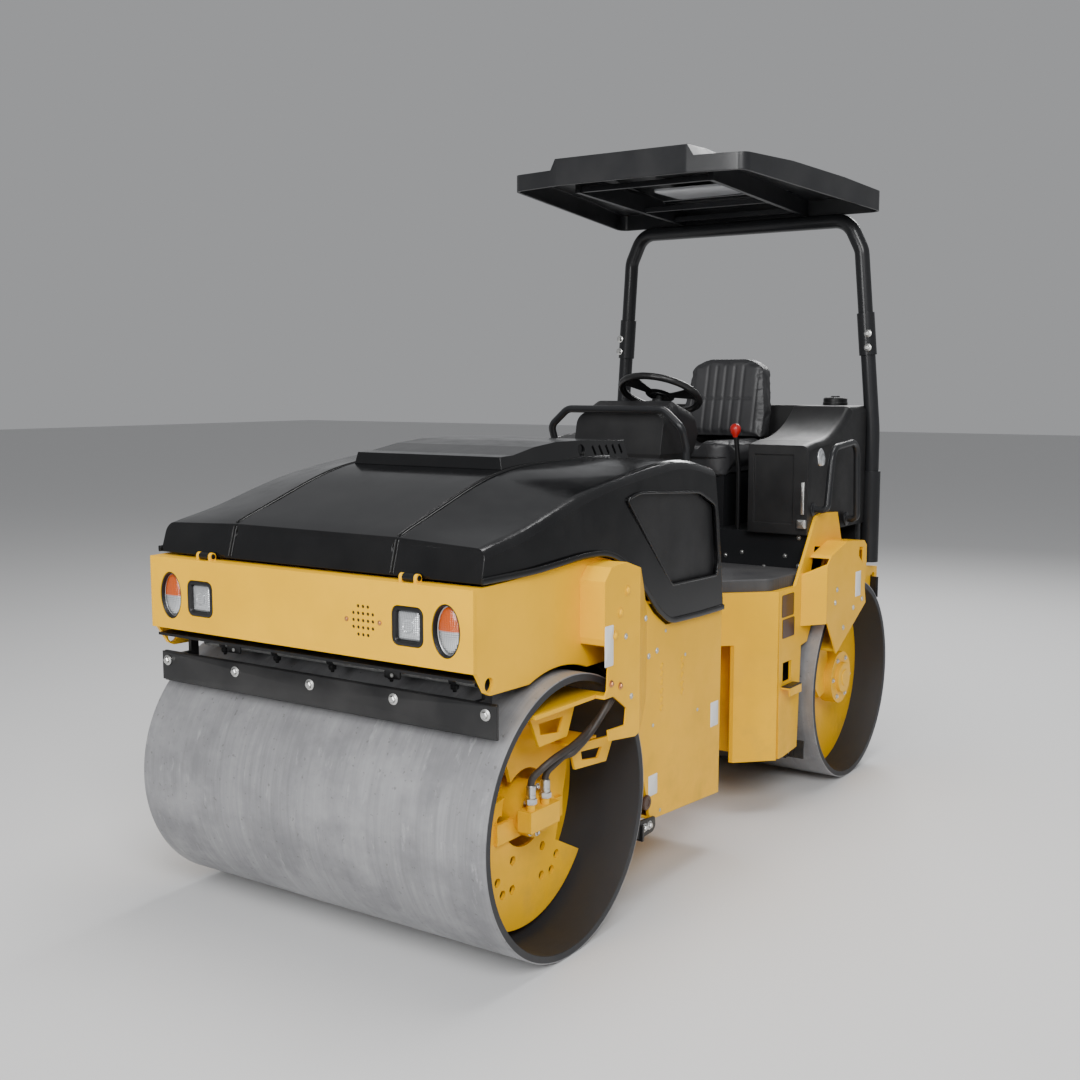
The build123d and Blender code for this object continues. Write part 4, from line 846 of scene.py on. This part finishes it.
class ROLLER_OT_engine(RollerOperator):
    """Rocker cover, air cleaner, exhaust branch and radiator on the engine under the hood"""
    bl_idname = "roller.engine"
    bl_label = "Engine"

    def make(self, sizes, look):
        top, x, y = sizes.engine_top, 370, -70
        base = slab(box_outline(350, 220, 30), edged(22, 4), (x, y, top - 1), **FACING_UP)
        cover = slab(box_outline(310, 170, 44), [(0, 18), (0, 62), (3, 74), (10, 82), (22, 86)], (x, y, top),
                     **FACING_UP)
        ribs = copies(slab(box_outline(8, 132, 3), edged(7, 2), (0, y, top + 84), **FACING_UP),
                      [(x + 34 * i, 0, 0) for i in range(-3, 3)])
        piece("engine_rocker_cover", gathered(base, cover, ribs), "engine", "front_frame", 40)
        cap = turned([(0, 0), (30, 0), (30, 16), (26, 20), (12, 20), (10, 26), (0, 26)], (x + 110, y, top + 84), UP,
                     28)
        piece("engine_oil_cap", cap, "soft_black", "front_frame")
        rim = copies(hexagon_bolt(UP, 6), [(x + u, y + v, top + 21) for u in (-165, 0, 165) for v in (-100, 100)])
        piece("engine_cover_bolts", rim, "zinc", "front_frame")
        barrel = turned([(0, -170), (54, -170), (62, -162), (64, -150), (64, -20), (68, -16), (68, -4), (64, 0),
                         (64, 138), (60, 150), (34, 158), (32, 176), (0, 176)], (340, 165, top + 64), ALONG, 48)
        straps = copies(turned([(64, -9), (67, -8), (67, 8), (64, 9)], (0, 165, top + 64), ALONG, 48),
                        [(240, 0, 0), (420, 0, 0)])
        piece("engine_air_cleaner", gathered(barrel, straps), "soft_black", "front_frame", 40)
        duct = even(rounded([(505, 165, top + 64), (575, 165, top + 64), (575, 20, top + 64), (520, -40, top + 40)], 60,
                            8, True), 9)
        bulge = 27 + 2 * np.sin(np.arange(len(duct)) * 1.6)
        section = oval(2, 2, 24)
        points, faces = swept(duct, section)
        centre = np.repeat(np.concatenate([duct[:1], duct, duct[-1:]]), 24, axis=0)
        radius = np.repeat(np.concatenate([bulge[:1], bulge, bulge[-1:]]), 24)[:, None]
        piece("engine_air_duct", (centre + (points - centre) * radius, faces), "rubber", "front_frame", 70)
        branch = swept(even([(190, 292, top - 110), (570, 292, top - 110)], 40), oval(56, 56, 24))
        stubs = copies(swept(even([(0, 255, top - 110), (0, 292, top - 110)], 12), oval(46, 46, 20)),
                       [(x, 0, 0) for x in (230, 340, 450, 550)])
        piece("engine_exhaust_branch", gathered(branch, stubs), "engine", "front_frame", 60)
        core = slab(box_outline(440, 340, 20), edged(46, 6), (599, 0, 815), **FACING_AHEAD)
        fins = copies(slab(box_outline(380, 6, 2), edged(5, 1), (644, 0, 0), **FACING_AHEAD),
                      [(0, 0, 680 + 18 * i) for i in range(16)])
        piece("engine_radiator", gathered(core, fins), "black_steel", "front_frame", 40)


class ROLLER_OT_platform(RollerOperator):
    """Riser bolts, step, handle flanges, console fittings, filler cap and rear door"""
    bl_idname = "roller.platform"
    bl_label = "Platform details"

    def make(self, sizes, look):
        front = sizes.riser_x
        places = [(front, y, z) for y, z in ((236, 911), (307, 928), (403, 877), (547, 1000), (491, 926), (547, 890))]
        bolts = copies(domed_bolt(ALONG, 6), places)
        piece("riser_bolts", across(bolts), "zinc", "rear_frame")
        step = slab(box_outline(104, 5, 1), edged(35, 1), (-507, 606, 472))
        piece("step_grips", across(step), "black_steel", "rear_frame")
        feet = copies(turned([(13, -2), (27, -2), (27, 4), (24, 6), (15, 7), (13, 9)], (0, 593, 0), LEFT, 28),
                      [(-745, 0, 1110), (-1060, 12, 1050)])
        rail = turned([(14, -1), (34, -1), (34, 5), (31, 7), (17, 8), (14, 11)], (-285, 285, 880), UP, 28)
        piece("handle_flanges", across(gathered(feet, rail)), "dark_paint", "rear_frame")
        latch = slab(box_outline(14, 124, 4), edged(7, 2), (sizes.console_front, 574, 1155), **FACING_AHEAD)
        block = slab(box_outline(34, 34, 4), edged(16, 2), (sizes.console_front, 574, 1058), **FACING_AHEAD)
        piece("console_latches", across(gathered(latch, block)), "zinc", "rear_frame")
        lamp = gathered(slab(oval(62, 78, 36), [(0, -14), (0, 5), (2, 7)], (0, 0, 0)),
                        domed(oval(58, 74, 36), 9, (0, 6, 0)))
        lamp = placed(lamp, 14, (-812, 589, 1312), ALONG)
        piece("console_lamps", across(lamp), "clear", "rear_frame", 60)
        cap = turned([(48, 0), (52, 2), (52, 12), (50, 14), (50, 28), (44, 33), (20, 34), (18, 40), (0, 40)],
                     (-1355, 430, sizes.tank_top), UP, 40)
        piece("filler_cap", cap, "soft_black", "rear_frame")
        back = sizes.tank_back
        door = slab(box_outline(760, 420, 50), [(0, -1), (0, 5), (2, 8), (7, 10)], (back, 0, 1200), **FACING_BACK)
        ribs = copies(slab(box_outline(300, 12, 6), [(0, 0), (0, 5), (3, 8)], (back - 10, 0, 0), **FACING_BACK),
                      [(0, 0, 1080 + 30 * i) for i in range(6)])
        piece("rear_door", door, "panel", "rear_frame", 50)
        piece("rear_door_ribs", ribs, "soft_black", "rear_frame", 50)
        latches = copies(gathered(slab(box_outline(34, 60, 8), edged(7, 2), (back - 10, 0, 1300), **FACING_BACK),
                                  turned([(0, 0), (9, 0), (9, 5), (6, 6), (0, 6)], (back - 17, 0, 1300), -ALONG, 20)),
                         [(0, -300, 0), (0, 300, 0)])
        piece("rear_door_latches", latches, "soft_black", "rear_frame")
        hinges = copies(turned([(0, -34), (7, -34), (7, 34), (0, 34)], (back - 6, 0, 992), LEFT, 20),
                        [(0, -260, 0), (0, 260, 0)])
        piece("rear_door_hinges", hinges, "black_steel", "rear_frame")
        reflector = slab(box_outline(90, 34, 6), edged(6, 2), (back, 470, 930), **FACING_BACK)
        piece("rear_reflectors", across(reflector), "red", "rear_frame")
        screws = copies(domed_bolt(-ALONG, 5), [(back, y, z) for y in (-535, 535) for z in (880, 1170, 1465)])
        piece("rear_tank_screws", screws, "zinc", "rear_frame")


class ROLLER_OT_roll_bar(RollerOperator):
    """Splice bolts and the light under the canopy"""
    bl_idname = "roller.roll_bar"
    bl_label = "Roll bar and canopy"

    def make(self, sizes, look):
        bolts = copies(hexagon_bolt(ALONG, 9), [(-1282, 592, 1796), (-1280, 594, 1739)])
        piece("splice_bolts", across(bolts), "zinc", "rear_frame")
        light = slab(rounded([(-1020, -150), (-990, 180), (-770, 200), (-760, -140)], 40, 6),
                     [(0, 0), (0, -8), (4, -11), (20, -13)], (0, 0, 2372), ALONG, LEFT, UP)
        piece("roof_light", light, "pale", "rear_frame")


class ROLLER_OT_seat(RollerOperator):
    """Blown-up cushion and back rest with sewn channels"""
    bl_idname = "roller.seat"
    bl_label = "Seat"

    def make(self, sizes, look):
        pleats = (-84, -42, 0, 42, 84)
        cushion = blown_pad("seat_pad", "seat_cushion", 0.972, 9, (0, 1, 0.05))
        sewn(cushion, UP, [(LEFT, y, 5.0, 4.5) for y in pleats], ((-1130, -775), (-112, 112), (1200, 1500)))
        back = blown_pad("seat_back_pad", "seat_back", 0.972, 10, (2, 1, 0.10))
        sewn(back, ALONG, [(LEFT, y, 5.5, 4.5) for y in pleats] + [(UP, 1530, 4.0, 4.0)],
             ((-1400, -900), (-128, 128), (1385, 1668)))
        sewn(back, ALONG, [(LEFT, y, 4.5, 4.0) for y in (-150, 150)], ((-1400, -900), (-170, 170), (1390, 1650)))
        for pad in (cushion, back):
            smoothed(pad, 1)
        trim = rounded([(-1168, 203, 1296), (-800, 203, 1296), (-752, 160, 1296), (-752, -160, 1296),
                        (-800, -203, 1296), (-1168, -203, 1296)], 40, 6, True)
        piece("seat_piping", swept(even(trim, 20), oval(6, 6, 10)), "soft_black", "rear_frame", 60)


def eased(points, rounding):
    """Pad's corners rounded: half width times 1 - r + r sqrt(1 - t^2) over the last stretch of one axis."""
    axis, sign, radius = rounding
    reach = sign * points[:, axis]
    t = np.clip((reach - reach.max() + radius) / radius, 0, 0.995)
    half = np.abs(points[:, 1]).max()
    share = radius / half
    points = points.copy()
    points[:, 1] *= 1 - share + share * np.sqrt(1 - t ** 2)
    return points


def blown_pad(name, node, start_size, cap, rounding):
    """Solid's copy, a little smaller, remeshed and blown up as cloth; no point moves further than the cap."""
    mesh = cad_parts[node].data.copy()
    mesh.name = name
    pad = bpy.data.objects.new(name, mesh)
    bpy.context.scene.collection.objects.link(pad)
    work = bmesh.new()
    work.from_mesh(mesh)
    bmesh.ops.remove_doubles(work, verts=work.verts, dist=MERGE_WITHIN)
    work.to_mesh(mesh)
    work.free()
    points = mesh_points(mesh)
    middle = (points.max(0) + points.min(0)) / 2
    place_points(mesh, eased(middle + (points - middle) * start_size, rounding))
    remesh = pad.modifiers.new("remesh", "REMESH")
    remesh.mode, remesh.voxel_size = "VOXEL", PAD_VOXEL
    bake(pad)
    start = mesh_points(pad.data)
    cloth = pad.modifiers.new("blown", "CLOTH")
    cloth.settings.use_pressure = True
    cloth.settings.uniform_pressure_force = CLOTH_PRESSURE
    cloth.settings.effector_weights.gravity = 0
    cloth.point_cache.frame_start, cloth.point_cache.frame_end = 1, CLOTH_FRAMES
    for moment in range(1, CLOTH_FRAMES + 1):
        bpy.context.scene.frame_set(moment)
    bake(pad)
    bpy.context.scene.frame_set(1)
    shift = mesh_points(pad.data) - start
    reach = np.linalg.norm(shift, axis=1, keepdims=True)
    place_points(pad.data, start + shift * np.minimum(1, cap / 1000 / np.maximum(reach, 1e-9)))
    pad.data.polygons.foreach_set("use_smooth", np.ones(len(pad.data.polygons), bool))
    pad.data.materials.clear()
    pad.data.materials.append(roller_finishes()["vinyl"])
    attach(pad, "rear_frame")
    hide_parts(node)
    return pad


def bake(made):
    """Modifiers' result kept as the mesh."""
    graph = bpy.context.evaluated_depsgraph_get()
    mesh = bpy.data.meshes.new_from_object(made.evaluated_get(graph))
    mesh.name = made.name
    made.modifiers.clear()
    made.data = mesh


def mesh_points(mesh):
    """Mesh's points as rows, in metres."""
    points = np.empty(len(mesh.vertices) * 3, np.float32)
    mesh.vertices.foreach_get("co", points)
    return points.reshape(-1, 3).astype(float)


def place_points(mesh, points):
    mesh.vertices.foreach_set("co", points.astype(np.float32).ravel())
    mesh.update()


def sewn(pad, outward, lines, room):
    """Channels pressed into the outward side: depth exp(-(d / width)^2), easing out at the room's ends."""
    mesh = pad.data
    points = mesh_points(mesh) * 1000
    normals = np.empty(len(mesh.vertices) * 3, np.float32)
    mesh.vertex_normals.foreach_get("vector", normals)
    facing = np.clip(normals.reshape(-1, 3) @ outward * 2 - 0.6, 0, 1)
    low, high = np.array(room, float).T
    inside = np.clip(np.minimum(points - low, high - points).min(1) / 14 + 0.5, 0, 1)
    depth = np.zeros(len(points))
    for across_line, place, deep, wide in lines:
        depth = np.maximum(depth, deep * np.exp(-((points @ across_line - place) / wide) ** 2))
    place_points(mesh, (points - outward * (depth * facing * inside)[:, None]) / 1000)


class ROLLER_OT_controls(RollerOperator):
    """Steering wheel's grip, cap and spokes, and the lever's top"""
    bl_idname = "roller.controls"
    bl_label = "Controls"

    def make(self, sizes, look):
        a = np.arange(120) * 2 * pi / 120
        wave = 1 + 0.04 * np.cos(a * 24)
        b = np.arange(20) * 2 * pi / 20
        ring_radius, tube = 157.0, 13.5
        centre, tilt = (sizes.wheel_x, 0, sizes.wheel_z), -26
        r = ring_radius + tube * wave[:, None] * np.cos(b)
        h = tube * np.sin(b)[None, :] * np.ones_like(r)
        local = np.stack([r * np.cos(a)[:, None], r * np.sin(a)[:, None], h], -1)
        rim = grid(local, closed=True, loop=True)
        cap = turned([(0, 8), (14, 8), (26, 5), (36, -2), (38, -8), (36, -14)], (0, 0, 0), UP, 40)
        radii = np.array([14, 34, 60, 84, 112, 138, 149.0])
        angle = radians(6) * np.arange(60)
        dish = -9 + 7 * (radii / 149) ** 2
        plate = np.stack([np.outer(radii, np.cos(angle)), np.outer(radii, np.sin(angle)),
                          np.repeat(dish[:, None], 60, 1)], -1)
        points, faces = grid(plate, closed=True)
        middle = points[faces].mean(1)
        distance, bearing = np.hypot(middle[:, 0], middle[:, 1]), np.degrees(np.arctan2(middle[:, 1], middle[:, 0]))
        from_window = np.abs((bearing - 30 + 60) % 120 - 60)
        solid = (distance < 62) | (from_window > 39) | (distance > 137)
        solid &= (distance > 86) | (from_window > 27) | (distance < 62)
        spokes = placed((points, faces[solid]), tilt, centre)
        plate = piece("steering_wheel_spokes", spokes, "soft_black", "steering_wheel", 80)
        wall = plate.modifiers.new("wall", "SOLIDIFY")
        wall.thickness, wall.offset = 0.007, 0
        smoothed(plate, 2)
        piece("steering_wheel_grip", placed(gathered(rim, cap), tilt, centre), "soft_black", "steering_wheel", 50,
              stands_for=("steering_wheel",))
        knob = turned([(0, 24), (12, 22), (20, 12), (22, 0), (19, -12), (12, -22), (9, -30)], (-743, 261, 1410), UP, 28)
        piece("lever_top", knob, "red_grip", "rear_frame", 60)


operators = [ROLLER_OT_stage, ROLLER_OT_finishes, ROLLER_OT_lamps, ROLLER_OT_scrapers, ROLLER_OT_drum_ends,
             ROLLER_OT_arms, ROLLER_OT_hood, ROLLER_OT_engine, ROLLER_OT_platform, ROLLER_OT_roll_bar, ROLLER_OT_seat,
             ROLLER_OT_controls]


def size(name, description, default):
    """A length in millimetres."""
    return bpy.props.FloatProperty(name=name, description=description, default=default)


class RollerSizes(bpy.types.PropertyGroup):
    axle_x: size("Axle ahead", "Drum axle ahead of the articulation pin, in millimetres", 1050.0)
    axle_z: size("Axle height", "Drum axle above the ground, in millimetres", 400.0)
    beam_face: size("Beam face", "Front face of the front beam, in millimetres", 1435.0)
    oval_y: size("Oval lamps", "Oval lamps from the middle, in millimetres", 518.0)
    square_y: size("Square lamps", "Square lamps from the middle, in millimetres", 392.0)
    grid_y: size("Horn grid", "Horn grid from the middle, in millimetres", 240.0)
    lamp_z: size("Lamp height", "Middle of the lamps above the ground, in millimetres", 966.0)
    arm_face: size("Arm face", "Outer face of the arms from the middle, in millimetres", 688.0)
    riser_x: size("Riser", "Face of the riser panel under the seat, in millimetres", -725.0)
    console_front: size("Console front", "Front face of the side consoles, in millimetres", -690.0)
    tank_top: size("Tank top", "Top of the rear tank above the ground, in millimetres", 1500.0)
    engine_top: size("Engine top", "Top of the engine block above the ground, in millimetres", 1000.0)
    tank_back: size("Tank back", "Back face of the rear tank, in millimetres", -1425.0)
    side_face: size("Side face", "Outer face of the side plates from the middle, in millimetres", 605.0)
    wheel_x: size("Wheel place", "Steering wheel's middle behind the articulation pin, in millimetres", -600.0)
    wheel_z: size("Wheel height", "Steering wheel's middle above the ground, in millimetres", 1552.0)


class RollerLook(bpy.types.PropertyGroup):
    yellow: bpy.props.FloatVectorProperty(name="Yellow", description="Colour of the enamel", subtype="COLOR",
                                          default=(0.95, 0.50, 0.0), min=0, max=1)
    gloss: bpy.props.FloatProperty(name="Enamel roughness", description="Roughness of the enamel", default=0.34,
                                   min=0, max=1, subtype="FACTOR")
    sky: bpy.props.FloatProperty(name="Sky", description="Strength of the pale surroundings", default=0.42, min=0)


class ROLLER_PT_panel(bpy.types.Panel):
    """Lists the roller's pieces"""
    bl_label = "Road roller"
    bl_idname = "ROLLER_PT_panel"
    bl_space_type = "VIEW_3D"
    bl_region_type = "UI"
    bl_category = "Roller"

    def draw(self, context):
        for group in (context.scene.roller_sizes, context.scene.roller_look):
            for name in group.__annotations__:
                self.layout.prop(group, name)
        for kind in operators:
            self.layout.operator(kind.bl_idname)


classes = [RollerSizes, RollerLook, *operators, ROLLER_PT_panel]


def register():
    for kind in classes:
        bpy.utils.register_class(kind)
    bpy.types.Scene.roller_sizes = bpy.props.PointerProperty(type=RollerSizes)
    bpy.types.Scene.roller_look = bpy.props.PointerProperty(type=RollerLook)


def unregister():
    del bpy.types.Scene.roller_look
    del bpy.types.Scene.roller_sizes
    for kind in reversed(classes):
        bpy.utils.unregister_class(kind)


def main():
    register()
    for kind in operators:
        group, name = kind.bl_idname.split(".")
        getattr(getattr(bpy.ops, group), name)()


if __name__ == "__main__":
    main()
